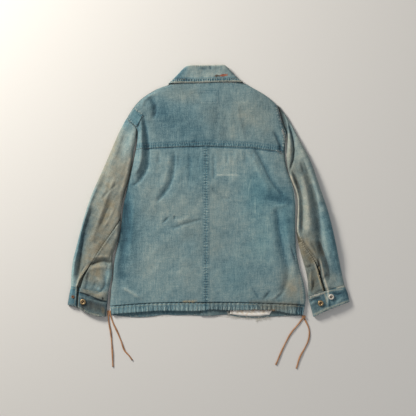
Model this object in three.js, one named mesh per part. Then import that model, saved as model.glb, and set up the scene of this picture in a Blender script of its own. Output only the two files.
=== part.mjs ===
import * as THREE from 'three';

// A faded denim work jacket laid flat on its front, with its back up. Millimetres: +X runs to
// the wearer's right, +Y towards the collar and +Z up from the table that the fronts rest on.

// Driving dimensions
const wall = 1.5;
const hemWall = 2.4;
const patchWall = 1.2;
const seamGap = 0.4;
const restLevel = wall / 2;
const edgeLevel = 3.2;
const backCrown = 5.6;
const centreCrown = 1.1;
const backRoll = 11;
const centreBack = -8;
const frontOverlap = 15;
const neckLift = 2.3;
const leafRise = 2.4;
const cuffCrown = 7.6;
const buttonDiameter = 17;
const buttonHeight = 4;
const tackDiameter = 9;
const laceWidth = 5;
const laceThickness = 2.4;
const puckerPitch = 13;
const puckerRise = 0.9;
const waveRise = 0.8;
const wavePitch = 33;

const denim = { roughness: 0.92, metalness: 0 };
const materials = {
  denim: new THREE.MeshStandardMaterial({ color: '#7a8c90', ...denim }),
  paleDenim: new THREE.MeshStandardMaterial({ color: '#8a9594', ...denim }),
  blueDenim: new THREE.MeshStandardMaterial({ color: '#56707c', ...denim }),
  dirtyDenim: new THREE.MeshStandardMaterial({ color: '#807e70', ...denim }),
  cotton: new THREE.MeshStandardMaterial({ color: '#e6e2da', ...denim }),
  leather: new THREE.MeshStandardMaterial({ color: '#8a6145', roughness: 0.7, metalness: 0 }),
  brass: new THREE.MeshStandardMaterial({ color: '#b59a5c', roughness: 0.4, metalness: 1 }),
  rust: new THREE.MeshStandardMaterial({ color: '#8a6a4c', roughness: 0.7, metalness: 0.6 }),
  whiteMetal: new THREE.MeshStandardMaterial({ color: '#d8d8d2', roughness: 0.35, metalness: 1 }),
};

const jacket = new THREE.Group();
jacket.name = 'jacket';

// Numbers
const mix = (a, b, t) => a + (b - a) * t;
const clamp = (value) => Math.min(1, Math.max(0, value));
const smooth = (value) => clamp(value) ** 2 * (3 - 2 * clamp(value));
const rolled = (distance, radius) => Math.sqrt(1 - (1 - clamp(distance / radius)) ** 2);
function spread(from, to, count) {
  return Array.from({ length: count + 1 }, (_, k) => mix(from, to, k / count));
}

// A smooth line through points, run by its share of the length
function through(points) {
  const places = points.map(([x, y]) => new THREE.Vector3(x, y, 0));
  const curve = new THREE.CatmullRomCurve3(places, false, 'centripetal');
  return (t) => {
    const { x, y } = curve.getPointAt(clamp(t));
    return [x, y];
  };
}

// Several lines end to end, each with the share of the whole where it ends
function chain(...stretches) {
  return (t) => {
    let start = 0;
    for (const [end, line] of stretches) {
      if (t <= end) return line((t - start) / (end - start));
      start = end;
    }
    return stretches[stretches.length - 1][1](1);
  };
}

const reversed = (line) => (t) => line(1 - t);
const moved = (line, x, y) => (t) => [line(t)[0] + x, line(t)[1] + y];
const part = (line, from, to) => (t) => line(mix(from, to, t));

// The plan of a panel between its four edges: s runs across it and t down it
function coons(left, right, top, bottom) {
  const corners = [left(0), right(0), left(1), right(1)];
  return (s, t) => [0, 1].map((axis) =>
    mix(left(t)[axis], right(t)[axis], s) + mix(top(s)[axis], bottom(s)[axis], t)
    - mix(mix(corners[0][axis], corners[1][axis], s), mix(corners[2][axis], corners[3][axis], s), t));
}

// The share of a row between two points at which a line crosses it
function crossing(from, to, points) {
  const side = ([x, y]) => (to[0] - from[0]) * (y - from[1]) - (to[1] - from[1]) * (x - from[0]);
  for (let k = 1; k < points.length; k += 1) {
    const [before, after] = [side(points[k - 1]), side(points[k])];
    if (before * after <= 0 && before !== after) {
      const t = before / (before - after);
      const x = mix(points[k - 1][0], points[k][0], t);
      const y = mix(points[k - 1][1], points[k][1], t);
      return Math.hypot(x - from[0], y - from[1]) / Math.hypot(to[0] - from[0], to[1] - from[1]);
    }
  }
  return null;
}

// How far a place lies from a line of points, and how far along the line
function nearest(points, x, y) {
  let best = { distance: Infinity, along: 0 };
  for (let k = 1; k < points.length; k += 1) {
    const [[ax, ay], [bx, by]] = [points[k - 1], points[k]];
    const t = clamp(((x - ax) * (bx - ax) + (y - ay) * (by - ay)) / ((bx - ax) ** 2 + (by - ay) ** 2));
    const distance = Math.hypot(x - mix(ax, bx, t), y - mix(ay, by, t));
    if (distance < best.distance) best = { distance, along: (k - 1 + t) / (points.length - 1) };
  }
  return best;
}

// The height that a set of folds adds at a place; each dies away at its ends
function foldHeight(folds, x, y) {
  return folds.reduce((sum, { line, rise, width }) => {
    const { distance, along } = nearest(line, x, y);
    const ends = smooth(along * 5) * smooth((1 - along) * 5);
    return sum + rise * Math.exp(-((distance / width) ** 2)) * ends;
  }, 0);
}

// Outlines, read from the neck down
const shoulderLeft = [[-128, 316], [-153, 307.5], [-191, 285], [-212, 268], [-232, 242], [-246, 218]];
const armholeLeft = [[-246, 218], [-212, 187]];
const sideLeft = [[-212, 187], [-212, 159], [-217, 125], [-226, 87], [-236, 46], [-248, -7], [-257, -52],
  [-260, -82], [-264, -117], [-272, -158], [-281, -200], [-284, -226], [-289, -274], [-293, -310],
  [-295, -343]];
const shoulderRight = [[110, 322], [146, 301], [174, 285], [194, 268], [205, 257]];
const sideRight = [[205, 257], [212, 232], [218, 204], [229, 183], [234, 166], [229, 149], [224, 117],
  [227, 94], [234, 59], [246, 32], [255, 0], [260, -52], [258, -104], [260, -145], [263, -189],
  [270, -227], [280, -258], [287, -286], [291, -317], [289, -340]];
const yokeSeam = [[-217, 125], [-198, 127], [-102, 132], [-8, 135], [129, 130], [224, 117]];
const hemTop = [[-295, -343], [-177, -334], [-16, -331], [91, -332], [260, -338], [289, -340]];
const hemBottom = [[-291, -368], [-211, -362], [-154, -358], [-28, -358], [4, -354], [61, -356],
  [195, -357], [243, -366], [282, -370]];
const frontHemBottom = [[-291, -370], [-259, -374], [-211, -377], [-173, -375], [-134, -369], [-97, -371],
  [-68, -370], [-28, -372], [4, -373], [52, -369], [90, -376], [147, -379], [186, -375], [243, -373],
  [282, -372]];
const neckLeft = [[-88, 343], [-98, 333], [-109, 324], [-116, 317.5], [-128, 316]];
const neckRight = [[72, 344], [82, 334], [92, 327], [100, 323.5], [110, 322]];
const silhouettes = [neckLeft, shoulderLeft, sideLeft, neckRight, shoulderRight, sideRight];
const edgeDistance = (x, y) => Math.min(...silhouettes.map((line) => nearest(line, x, y).distance));

// Folds of the back: a rise above zero is a ridge, below zero a trough
const backFolds = [
  { line: [[-171, 272], [-160, 248], [-159, 228]], rise: -2.6, width: 9 },
  { line: [[-184, 268], [-176, 246], [-176, 226]], rise: 2.4, width: 10 },
  { line: [[-131, 304], [-176, 282], [-215, 250]], rise: -1.4, width: 7 },
  { line: [[-195, 224], [-186, 172], [-184, 128], [-186, 80], [-207, 30]], rise: -3.4, width: 9 },
  { line: [[-209, 226], [-203, 172], [-202, 128], [-207, 80], [-224, 40]], rise: 4.2, width: 11 },
  { line: [[-170, 190], [-166, 128], [-166, 80], [-178, 34]], rise: 1.6, width: 10 },
  { line: [[-102, 112], [-108, 55], [-122, 0], [-148, -24]], rise: -2.6, width: 9 },
  { line: [[-84, 112], [-90, 55], [-104, -4], [-130, -34]], rise: 2.0, width: 11 },
  { line: [[-136, -96], [-118, -72]], rise: -1.8, width: 7 },
  { line: [[-121, -104], [-88, -109], [-28, -92]], rise: -1.5, width: 7 },
  { line: [[-121, -120], [-88, -124], [-28, -106]], rise: 1.4, width: 9 },
  { line: [[-234, 20], [-248, -70], [-254, -130], [-250, -190], [-252, -290]], rise: -2.6, width: 10 },
  { line: [[-214, 0], [-228, -70], [-232, -130], [-226, -200], [-230, -280]], rise: 1.8, width: 12 },
  { line: [[-272, -282], [-236, -304], [-192, -332]], rise: 2.8, width: 9 },
  { line: [[141, 126], [167, 83], [181, 39], [196, 10], [218, -20]], rise: -3.0, width: 9 },
  { line: [[160, 120], [186, 84], [200, 44], [216, 10]], rise: 2.2, width: 11 },
  { line: [[192, 186], [218, 126]], rise: -2.6, width: 8 },
  { line: [[206, 196], [226, 150]], rise: 2.0, width: 8 },
  { line: [[202, -20], [215, -88], [216, -132], [223, -180], [236, -226], [232, -292], [208, -320]],
    rise: -3.0, width: 9 },
  { line: [[222, -30], [234, -92], [236, -140], [244, -186], [258, -232], [256, -300]],
    rise: 2.6, width: 11 },
  { line: [[188, -60], [194, -140], [204, -200], [206, -260]], rise: 1.6, width: 13 },
  { line: [[137, -290], [158, -332]], rise: -2.0, width: 7 },
  { line: [[183, -298], [164, -332]], rise: -2.0, width: 7 },
  { line: [[60, 240], [52, 180], [54, 140]], rise: -1.2, width: 9 },
  { line: [[118, 250], [104, 190], [112, 140]], rise: 1.2, width: 12 },
  { line: [[-60, 100], [-50, 20], [-60, -60]], rise: 1.0, width: 14 },
  { line: [[20, 110], [26, 40], [18, -40]], rise: -1.0, width: 10 },
  { line: [[-150, -150], [-140, -230], [-146, -310]], rise: 1.2, width: 16 },
  { line: [[90, -120], [84, -220], [92, -310]], rise: 1.2, width: 16 },
];

// Under the neck the fronts lie on the collar's front leaf, so all above them rises a little
const collarLow = 236;
function lift(x, y) {
  const across = smooth((170 - Math.abs(x - centreBack)) / 55);
  return neckLift * across * smooth((y - collarLow + 34) / 26);
}

// The front's edges lie raised on the row of buttons below them
const buttonPlaces = [226, 115, 4, -107, -218];
function placketRise(x, y) {
  const across = smooth((30 - Math.abs(x - centreBack)) / 18);
  return (buttonHeight + 0.35) * across * smooth((y + 312) / 42);
}

// Heights of the cloth's middle surface
const edgeTurn = 0.8;
function frontHeight(x, y) {
  const turned = edgeTurn * (1 - rolled(edgeDistance(x, y), 4));
  return restLevel + Math.max(lift(x, y), placketRise(x, y)) + turned;
}

function rightFrontHeight(x, y) {
  return frontHeight(x, y) + (wall + 0.9) * smooth((centreBack + frontOverlap + 24 - x) / 14);
}

function backHeight(x, y) {
  const flat = rolled(edgeDistance(x, y), backRoll);
  const belowYoke = Math.exp(-(((y - 96) / 46) ** 2));
  const waves = waveRise * belowYoke * Math.cos((2 * Math.PI * x) / wavePitch + Math.sin(x / 41));
  const crown = backCrown + centreCrown * Math.exp(-(((x - centreBack) / 60) ** 2));
  return edgeLevel + lift(x, y) + (crown + waves + Math.max(foldHeight(backFolds, x, y), -4.6)) * flat;
}

function hemHeight(x, y) {
  const flat = rolled(edgeDistance(x, y), backRoll);
  const puckers = puckerRise * Math.cos((2 * Math.PI * x) / puckerPitch + 0.7 * Math.sin(x / 37));
  return edgeLevel + (3.6 + puckers) * Math.max(flat, 0.15);
}

// A wall around a grid of places: keep says which of its cells are cloth
function sheetGeometry(places, thickness, keep = () => true) {
  const [rowCount, columnCount] = [places.length, places[0].length];
  const normals = places.map((row) => row.map(() => new THREE.Vector3()));
  const cells = [];
  for (let i = 0; i < rowCount - 1; i += 1) {
    for (let j = 0; j < columnCount - 1; j += 1) {
      if (keep(i, j)) {
        const corners = [[i, j], [i + 1, j], [i + 1, j + 1], [i, j + 1]];
        const [a, b, c, d] = corners.map(([row, column]) => places[row][column]);
        const normal = c.clone().sub(a).cross(d.clone().sub(b));
        corners.forEach(([row, column]) => normals[row][column].add(normal));
        cells.push(corners.map(([row, column]) => row * columnCount + column));
      }
    }
  }
  const edges = new Set(cells.flatMap((cell) => cell.map((corner, k) => `${corner},${cell[(k + 1) % 4]}`)));
  const isCut = (corner, next) => !edges.has(`${next},${corner}`);
  const cut = new Set(cells.flatMap((cell) => cell.flatMap((corner, k) =>
    (isCut(corner, cell[(k + 1) % 4]) ? [corner, cell[(k + 1) % 4]] : []))));
  const positions = [];
  const slots = new Map();
  const slot = (corner, face) => {
    const key = corner * 2 + face;
    if (!slots.has(key)) {
      const [row, column] = [Math.floor(corner / columnCount), corner % columnCount];
      const normal = normals[row][column].clone().normalize();
      // a cut edge stands upright where the cloth lies flat, so that seams keep their gap
      if (cut.has(corner) && Math.abs(normal.z) > 0.6) normal.set(0, 0, Math.sign(normal.z));
      slots.set(key, positions.length / 3);
      const place = places[row][column].clone().addScaledVector(normal, (face - 0.5) * thickness);
      positions.push(...place.toArray());
    }
    return slots.get(key);
  };
  const index = [];
  cells.forEach((cell) => {
    const [a, b, c, d] = cell.map((corner) => slot(corner, 1));
    index.push(a, b, c, a, c, d);
    const [e, f, g, h] = cell.map((corner) => slot(corner, 0));
    index.push(e, g, f, e, h, g);
    cell.forEach((corner, k) => {
      const next = cell[(k + 1) % 4];
      if (isCut(corner, next)) {
        const [p, q, r, s] = [slot(corner, 1), slot(corner, 0), slot(next, 0), slot(next, 1)];
        index.push(p, q, r, p, r, s);
      }
    });
  });
  const geometry = new THREE.BufferGeometry();
  geometry.setAttribute('position', new THREE.Float32BufferAttribute(positions, 3));
  geometry.setIndex(index);
  if (signedVolume(geometry) < 0) {
    geometry.setIndex(index.map((_, k) => index[k - (k % 3) + [0, 2, 1][k % 3]]));
  }
  geometry.computeVertexNormals();
  return geometry;
}

function signedVolume(geometry) {
  const place = geometry.getAttribute('position');
  const corner = (k) => new THREE.Vector3().fromBufferAttribute(place, geometry.index.getX(k));
  let volume = 0;
  for (let k = 0; k < geometry.index.count; k += 3) {
    volume += corner(k).dot(corner(k + 1).cross(corner(k + 2))) / 6;
  }
  return volume;
}

function add(name, geometry, material) {
  const mesh = new THREE.Mesh(geometry, material);
  mesh.name = name;
  jacket.add(mesh);
  return mesh;
}

// A panel laid out from its plan and a height for each place
function panelPlaces(plan, across, down, height) {
  return down.map((t) => across.map((s) => {
    const [x, y] = plan(s, t);
    return new THREE.Vector3(x, y, height(x, y));
  }));
}

// Cells crowd at a rolled edge and are even elsewhere
const fromEdge = (count) => [0, 0.005, 0.018, 0.042, ...spread(0.085, 1, count)];
const toEdge = (count) => fromEdge(count).map((s) => 1 - s).reverse();
const halfGap = seamGap / 2;

// Back: a yoke above two panels that meet at the centre seam
const panelColumns = 13;
const centreShare = 0.47;
const hemCentreShare = 0.49;
const leftSide = through(sideLeft);
const rightSide = through(sideRight);
const leftYokeEnd = 0.117;
const rightYokeEnd = 0.243;
const leftPanelSide = part(leftSide, leftYokeEnd, 1);
const rightPanelSide = part(rightSide, rightYokeEnd, 1);
const yokeLine = chain(
  [centreShare, through(yokeSeam.slice(0, 4))],
  [1, through(yokeSeam.slice(3))],
);
const hemCentre = [centreBack, -331];
const hemLine = chain(
  [hemCentreShare, through([...hemTop.slice(0, 2), hemCentre])],
  [1, through([hemCentre, ...hemTop.slice(3)])],
);

const backRows = spread(0, 1, 24);
function halfBack(side) {
  const centre = centreBack + side * halfGap;
  const seam = through([[centre, yokeSeam[3][1] - halfGap], [centre, hemCentre[1] + halfGap]]);
  const outer = side < 0 ? leftPanelSide : rightPanelSide;
  const half = (line, share) => (side < 0 ? part(line, 0, share) : part(line, share, 1));
  const top = moved(half(yokeLine, centreShare), 0, -halfGap);
  const bottom = moved(half(hemLine, hemCentreShare), 0, halfGap);
  const plan = side < 0 ? coons(outer, seam, top, bottom) : coons(seam, outer, top, bottom);
  const across = side < 0 ? fromEdge(panelColumns) : toEdge(panelColumns);
  return sheetGeometry(panelPlaces(plan, across, backRows, backHeight), wall);
}

add('back_left', halfBack(-1), materials.denim);
add('back_right', halfBack(1), materials.denim);

const yokeRows = [0, 0.05, 0.1, 0.14, 0.21, 0.28, 0.35, 0.42, 0.52, 0.62, 0.7, 0.78, 0.86, 0.93, 1];
const yokeColumns = [
  ...fromEdge(panelColumns - 2).map((s) => s * centreShare),
  ...toEdge(panelColumns - 2).slice(1).map((s) => mix(centreShare, 1, s)),
];
const yokePlan = coons(
  chain([0.14, through(neckLeft)], [0.62, through(shoulderLeft)], [0.78, through(armholeLeft)],
    [1, part(leftSide, 0, leftYokeEnd)]),
  chain([0.14, through(neckRight)], [0.42, through(shoulderRight)], [1, part(rightSide, 0, rightYokeEnd)]),
  through([neckLeft[0], [-8, 346], neckRight[0]]),
  moved(yokeLine, 0, halfGap),
);
const yokePlaces = panelPlaces(yokePlan, yokeColumns, yokeRows, backHeight);
add('back_yoke', sheetGeometry(yokePlaces, wall), materials.paleDenim);

// Moves a grid out of the cloth by a distance, to carry what lies on it
function raised(places, distance) {
  return places.map((row, i) => row.map((place, j) => {
    const [up, down] = [places[Math.max(i - 1, 0)][j], places[Math.min(i + 1, places.length - 1)][j]];
    const [left, right] = [row[Math.max(j - 1, 0)], row[Math.min(j + 1, row.length - 1)]];
    const normal = right.clone().sub(left).cross(up.clone().sub(down)).normalize();
    return place.clone().addScaledVector(normal.z < 0 ? normal.negate() : normal, distance);
  }));
}

// The height of a panel's flat facets at a place
function facetHeight(places, x, y) {
  const corners = places.slice(1).flatMap((row, i) => row.slice(1).flatMap((place, j) => [
    [places[i][j], row[j], place], [places[i][j], place, places[i][j + 1]]]));
  for (const [a, b, c] of corners) {
    const area = (b.x - a.x) * (c.y - a.y) - (c.x - a.x) * (b.y - a.y);
    const toB = ((x - a.x) * (c.y - a.y) - (c.x - a.x) * (y - a.y)) / area;
    const toC = ((b.x - a.x) * (y - a.y) - (x - a.x) * (b.y - a.y)) / area;
    if (toB >= -1e-6 && toC >= -1e-6 && toB + toC <= 1 + 1e-6) {
      return a.z + (b.z - a.z) * toB + (c.z - a.z) * toC;
    }
  }
  return edgeLevel;
}

// Shoulder patch: it covers the yoke's end beside the left armhole seam
const patchLift = wall / 2 + patchWall / 2 + 0.35;
const patchPlan = coons(
  through([[-222, 246], [-231, 232], [-239, 216.5]]),
  through([[-198, 228], [-216, 193]]),
  through([[-222, 246], [-198, 228]]),
  through([[-239, 216.5], [-216, 193]]),
);
const patchReach = [[0, 0], [2.5, 0], [-2.5, 0], [0, 2.5], [0, -2.5], [2, -2]];
const patchPlaces = panelPlaces(patchPlan, spread(0, 1, 7), spread(0, 1, 8), (x, y) =>
  Math.max(...patchReach.map(([dx, dy]) => facetHeight(yokePlaces, x + dx, y + dy))));
add('left_shoulder_patch', sheetGeometry(raised(patchPlaces, patchLift), patchWall), materials.blueDenim);

// Hem casing of the back, drawn up into puckers
const casingPlan = (from, to) => coons(
  through([casingPoint(from, 0), casingPoint(from, 0.5), casingPoint(from, 1)]),
  through([casingPoint(to, 0), casingPoint(to, 0.5), casingPoint(to, 1)]),
  moved(part(hemLine, from, to), 0, -halfGap),
  part(through(hemBottom), from, to),
);
function casingPoint(share, t) {
  const [above, below] = [hemLine(share), through(hemBottom)(share)];
  return [mix(above[0], below[0], t), mix(above[1], below[1], t)];
}
const halfHemWidth = 300;
const casing = (name, from, to, puckers, material) => {
  const end = halfGap / halfHemWidth;
  const columns = spread(end, 1 - end, puckers * 4);
  const places = panelPlaces(casingPlan(from, to), columns, [0.015, 1], hemHeight);
  add(name, sheetGeometry(places, hemWall), material);
};
const [cornerStart, cornerEnd] = [0.958, 0.9587];
casing('back_hem_left', 0, hemCentreShare, 22, materials.denim);
casing('back_hem_right', hemCentreShare, cornerStart, 21, materials.denim);
casing('back_hem_corner', cornerEnd, 1, 2, materials.blueDenim);

// Fronts: plain, wearer's left over right, so the left one lies lowest
const frontNeckLeft = [[-88, 343], [-79, 310], [-46, 279], [-11, 265], [7, 262]];
const frontNeckRight = [[72, 344], [63, 310], [30, 279], [-5, 265], [-23, 262]];
const frontHemLevel = -345;
const frontRows = [0, 0.03, 0.06, 0.13, 0.2, 0.26, ...spread(0.34, 1, 9)];
const frontColumns = [0, 0.005, 0.018, 0.2, 0.45, 0.7, 0.86, 0.9, 0.93, 0.96, 1];
const inner = (side) => centreBack - side * frontOverlap;

function frontPlan(side) {
  const sideLine = side < 0 ? leftSide : rightSide;
  const aboveHem = part(sideLine, 0, 0.997);
  const outer = side < 0
    ? chain([0.06, through(neckLeft)], [0.2, through(shoulderLeft)], [0.26, through(armholeLeft)],
      [1, aboveHem])
    : chain([0.06, through(neckRight)], [0.2, through(shoulderRight)], [1, aboveHem]);
  const edge = through([[inner(side), 262], [inner(side), frontHemLevel + halfGap]]);
  const neck = through(side < 0 ? frontNeckLeft : frontNeckRight);
  const [endX, endY] = outer(1);
  const bottom = through([[endX, endY], [mix(endX, inner(side), 0.5), frontHemLevel + halfGap],
    [inner(side), frontHemLevel + halfGap]]);
  return coons(outer, edge, neck, bottom);
}

const fronts = { left: [-1, frontHeight], right: [1, rightFrontHeight] };
Object.entries(fronts).forEach(([name, [side, height]]) => {
  const places = panelPlaces(frontPlan(side), frontColumns, frontRows, height);
  add(`front_${name}`, sheetGeometry(places, wall), materials.denim);
});

// Front hem: it shows below the back's hem, with a white cotton patch on its inner face
const [leftHemShare, rightHemShare] = [0.52, 0.465];
const hemLow = -372;
const hemTurn = 1.5;
function frontHemPlaces(side) {
  const low = through(frontHemBottom);
  const sideLine = side < 0 ? leftSide : rightSide;
  const [endX, endY] = sideLine(1);
  const [lowX, lowY] = frontHemBottom[side < 0 ? 0 : frontHemBottom.length - 1];
  const outer = through([[endX, endY - hemTurn], [lowX, lowY]]);
  const edge = through([[inner(side), frontHemLevel - halfGap], [inner(side), hemLow]]);
  const top = through([[endX, endY - hemTurn], [mix(endX, inner(side), 0.5), frontHemLevel - halfGap],
    [inner(side), frontHemLevel - halfGap]]);
  const bottom = side < 0 ? part(low, 0, leftHemShare) : reversed(part(low, rightHemShare, 1));
  const columns = [0, 0.005, 0.018, ...spread(0.05, 1, 20)];
  const height = side < 0 ? frontHeight : rightFrontHeight;
  return panelPlaces(coons(outer, edge, top, bottom), columns, [0, 0.86, 1], height);
}
add('front_hem_left', sheetGeometry(frontHemPlaces(-1), wall), materials.denim);
add('front_hem_right', sheetGeometry(frontHemPlaces(1), wall), materials.denim);
const hemPatchPlaces = raised(frontHemPlaces(1), patchLift).slice(0, 2).map((row) => row.slice(8, 18));
add('hem_patch', sheetGeometry(hemPatchPlaces, patchWall), materials.cotton);

// Sleeves: each a flattened tube of two pieces. The upper one wraps the outer edge; the under one
// lies on the table and turns up round the inner edge to the back seam and its cuff slit.
const sleeves = {
  left: {
    outer: [[-246.5, 217.5], [-267, 180], [-291, 125], [-312, 76], [-331, 34], [-355, -21], [-377, -93],
      [-394, -158], [-409, -220], [-412, -284]],
    inner: [[-212.9, 186.2], [-220, 149], [-226, 125], [-229, 94], [-239, 40], [-249, 7], [-259, -31],
      [-264, -58], [-264, -84], [-269, -138], [-284, -179], [-295, -205], [-287, -216], [-288, -242],
      [-295, -274], [-302, -300]],
    seam: [[-262, -83], [-315, -158], [-339, -193], [-352, -217]],
    slitUpper: [[-379, -252], [-394, -280], [-397, -296]],
    slitUnder: [[-373, -256], [-386, -284], [-389, -296]],
    crown: [[0, 8], [0.12, 9], [0.3, 12], [0.6, 13], [0.82, 12], [1, 7.6]],
    folds: [
      { line: [[-300, 62], [-338, -20], [-367, -104], [-388, -206], [-393, -272]], rise: -6.5, width: 7 },
      { line: [[-322, 20], [-352, -50], [-379, -120], [-402, -220], [-404, -276]], rise: 2.4, width: 7 },
      { line: [[-262, 150], [-300, 20], [-345, -110], [-350, -196]], rise: 3.6, width: 15 },
      { line: [[-240, 150], [-262, 60], [-290, -30]], rise: 2.0, width: 11 },
      { line: [[-347, -204], [-320, -206], [-290, -211]], rise: -6.5, width: 6 },
      { line: [[-340, -226], [-318, -230], [-296, -232]], rise: 3.4, width: 10 },
      { line: [[-350, -186], [-318, -186], [-290, -188]], rise: 2.4, width: 8 },
      { line: [[-352, -250], [-330, -262], [-322, -292]], rise: -2.4, width: 7 },
      { line: [[-330, -240], [-312, -268], [-312, -296]], rise: 2.0, width: 8 },
    ],
    joined: true,
    underGap: 0.6,
  },
  right: {
    outer: [[206.4, 258.2], [225, 235], [246, 204], [270, 156], [298, 108], [315, 66], [334, 8], [346, -24],
      [363, -79], [380, -152], [392, -214], [406, -279]],
    inner: [[214, 250], [228, 226], [234, 210], [237, 185], [238, 159], [234.5, 124], [234, 88],
      [246, 34], [259, 12], [267.5, -17], [267.5, -69], [263.5, -121], [270, -158], [280, -200],
      [293, -241], [299, -286], [298, -314]],
    seam: [[262, -120], [286, -166], [307, -192], [324, -215]],
    slitUpper: [[333, -238], [339, -260], [351, -300]],
    slitUnder: [[326, -238], [335, -266], [345, -302]],
    crown: [[0, 2], [0.08, 5], [0.2, 9], [0.45, 13], [0.8, 13], [1, 7.6]],
    folds: [
      { line: [[240, 212], [252, 176], [255, 140], [247, 76]], rise: -5, width: 6 },
      { line: [[242, 150], [241, 116], [239, 84]], rise: 2.5, width: 7 },
      { line: [[245, 70], [266, 26], [277, -26], [277, -86], [270, -140]], rise: -6.5, width: 7 },
      { line: [[284, 96], [304, 20], [319, -40], [331, -110], [337, -176], [358, -246]], rise: -7, width: 9 },
      { line: [[262, 90], [286, 10], [299, -60], [303, -120], [300, -180]], rise: 3.6, width: 10 },
      { line: [[282, 126], [318, 30], [342, -60], [358, -130], [376, -230]], rise: 3.2, width: 13 },
      { line: [[288, -221], [298, -222], [308, -221]], rise: -3, width: 5 },
      { line: [[312, -196], [316, -232], [322, -262]], rise: -2.5, width: 6 },
    ],
    joined: false,
    underGap: -1.2,
  },
};
const wrapShare = 0.3;
const sleeveRoll = 12;
const slitGap = 0.35;
const underTurn = [[1.2, 1.5], [5, restLevel]];

// A value that runs evenly between stated places
function profile(stops, t) {
  const after = stops.findIndex(([place]) => place >= t);
  if (after <= 0) return stops[Math.max(after, 0)][1];
  const [[a, low], [b, high]] = [stops[after - 1], stops[after]];
  return mix(low, high, smooth((t - a) / (b - a)));
}

const sleeveRows = [0, 0.035, 0.08, ...spread(0.13, 0.93, 15), 0.965, 1];
const topShares = [0.012, 0.05, 0.13, 0.23, 0.34, 0.45, 0.57, 0.69, 0.81, 0.91, 0.975, 1];

function sleevePieces(side, shape) {
  const { seam, slitUpper, slitUnder, crown, folds, joined, underGap } = shape;
  const [outerLine, innerLine] = [through(shape.outer), through(shape.inner)];
  const rows = sleeveRows.map((t) => {
    const [from, to] = [outerLine(t), innerLine(t)];
    const width = Math.hypot(to[0] - from[0], to[1] - from[1]);
    const at = (a, z) => new THREE.Vector3(mix(from[0], to[0], a / width), mix(from[1], to[1], a / width), z);
    const radius = Math.min(sleeveRoll, width / 2);
    const top = (a) => {
      const { x, y } = at(a, 0);
      const body = backHeight(x, y);
      const flat = rolled(a, radius) * rolled(width - a, radius);
      const puffed = edgeLevel + Math.max(profile(crown, t) + foldHeight(folds, x, y), 2) * flat;
      return at(a, joined ? mix(body, puffed, smooth(t / 0.09)) : puffed);
    };
    const cross = (line) => crossing(from, to, line);
    const upperCross = cross([...seam, ...slitUpper]);
    const underCross = cross([...seam, ...slitUnder]);
    const open = upperCross !== null && upperCross < 1;
    return {
      t, width, at, top, open,
      upperEnd: open ? Math.min(upperCross * width - slitGap, width - 2.6) : width,
      underEnd: open ? Math.min(underCross * width + slitGap, width - 1.9) : width,
    };
  });
  const upper = rows.map(({ width, at, top, upperEnd }) => [
    at(width * wrapShare, restLevel),
    ...[...underTurn].reverse().map(([a, z]) => at(Math.min(a, width * 0.2 * (a / 5)), z)),
    at(0, edgeLevel),
    ...topShares.map((share) => top(upperEnd * share)),
  ]);
  add(`${side}_sleeve_upper`, sheetGeometry(upper, wall), materials.paleDenim);

  // The armhole's low part: on the right the under sleeve reaches in below the body's edge
  const armholeEnd = 0.2;
  const underStart = besideLine(rows.map(({ width, at }) => at(width * wrapShare, restLevel)), underGap);
  const start = underStart[0];
  const underarm = [236.3, 165];
  const armhole = through([[start.x, start.y], [215, 231.5], [220.5, 203.5], [231, 182.5], underarm]);
  const lowInner = joined ? innerLine : chain([armholeEnd, through([underarm, innerLine(armholeEnd)])],
    [1, part(innerLine, armholeEnd, 1)]);
  const lowShares = [0, 0.3, 0.6, 0.9];
  const under = rows.map(({ t, width, top, open, underEnd }, row) => {
    const from = underStart[row];
    const [endX, endY] = lowInner(t);
    const to = new THREE.Vector3(endX, endY, restLevel);
    const bend = joined ? 0 : 1 - smooth(t / armholeEnd);
    const low = [...lowShares, 1 - 1.5 / from.distanceTo(to)].map((share) => {
      const place = from.clone().lerp(to, share);
      const [bentX, bentY] = armhole(share);
      const [straightX, straightY] = [mix(start.x, underarm[0], share), mix(start.y, underarm[1], share)];
      return place.add(new THREE.Vector3((bentX - straightX) * bend, (bentY - straightY) * bend, 0));
    });
    const turn = to.clone().setZ(open ? edgeLevel : restLevel + edgeTurn);
    const wrapped = [0.02, 0.08, 0.2, 0.4, 0.6, 0.8, 1].map((share) =>
      top(mix(width, Math.min(underEnd, width - 0.4), share)));
    return [...low, turn, ...wrapped];
  });
  const turnColumn = lowShares.length + 1;
  const keep = (row, column) => column < turnColumn || rows[row].open;
  add(`${side}_sleeve_under`, sheetGeometry(under, wall, keep), materials.dirtyDenim);
}

// A line at a distance to one side of another
function besideLine(line, distance) {
  return line.map((place, k) => {
    const after = line[Math.min(k + 1, line.length - 1)];
    const along = after.clone().sub(line[Math.max(k - 1, 0)]).normalize();
    return place.clone().add(new THREE.Vector3(-along.y, along.x, 0).multiplyScalar(distance));
  });
}

Object.entries(sleeves).forEach(([side, shape]) => sleevePieces(side, shape));

// Cuffs: a band around each sleeve's end. The left one hangs open, so its outer end shows as a
// strip beside the slit; the right one is buttoned, with its outer end over the inner one.
const cuffs = {
  left: {
    plan: coons(
      through([[-412, -284.6], [-419, -315], [-422, -340]]),
      through([[-302, -300.6], [-303, -330], [-308.5, -375]]),
      through([[-412, -284.6], [-302, -300.6]]),
      through([[-422, -340], [-397, -344.5], [-360, -366], [-332, -374], [-308.5, -375]]),
    ),
    ends: [[0.16, 0.215], [0.235, 0.262]],
    overlap: 0,
    folds: [{ line: [[-330, -306], [-318, -322], [-300, -318]], rise: -6, width: 6 }],
  },
  right: {
    plan: coons(
      through([[406, -279.6], [416, -304], [422, -330]]),
      through([[298, -314.6], [304, -340], [314, -376]]),
      through([[406, -279.6], [298, -314.6]]),
      through([[422, -330], [366, -351], [314, -376]]),
    ),
    ends: [[0.52, 0.61], [0.36, 0.42]],
    overlap: 2.4,
    folds: [],
  },
};
const cuffRows = [0, 0.25, 0.5, 0.75, 1];
const cuffRoll = 8;

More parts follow.
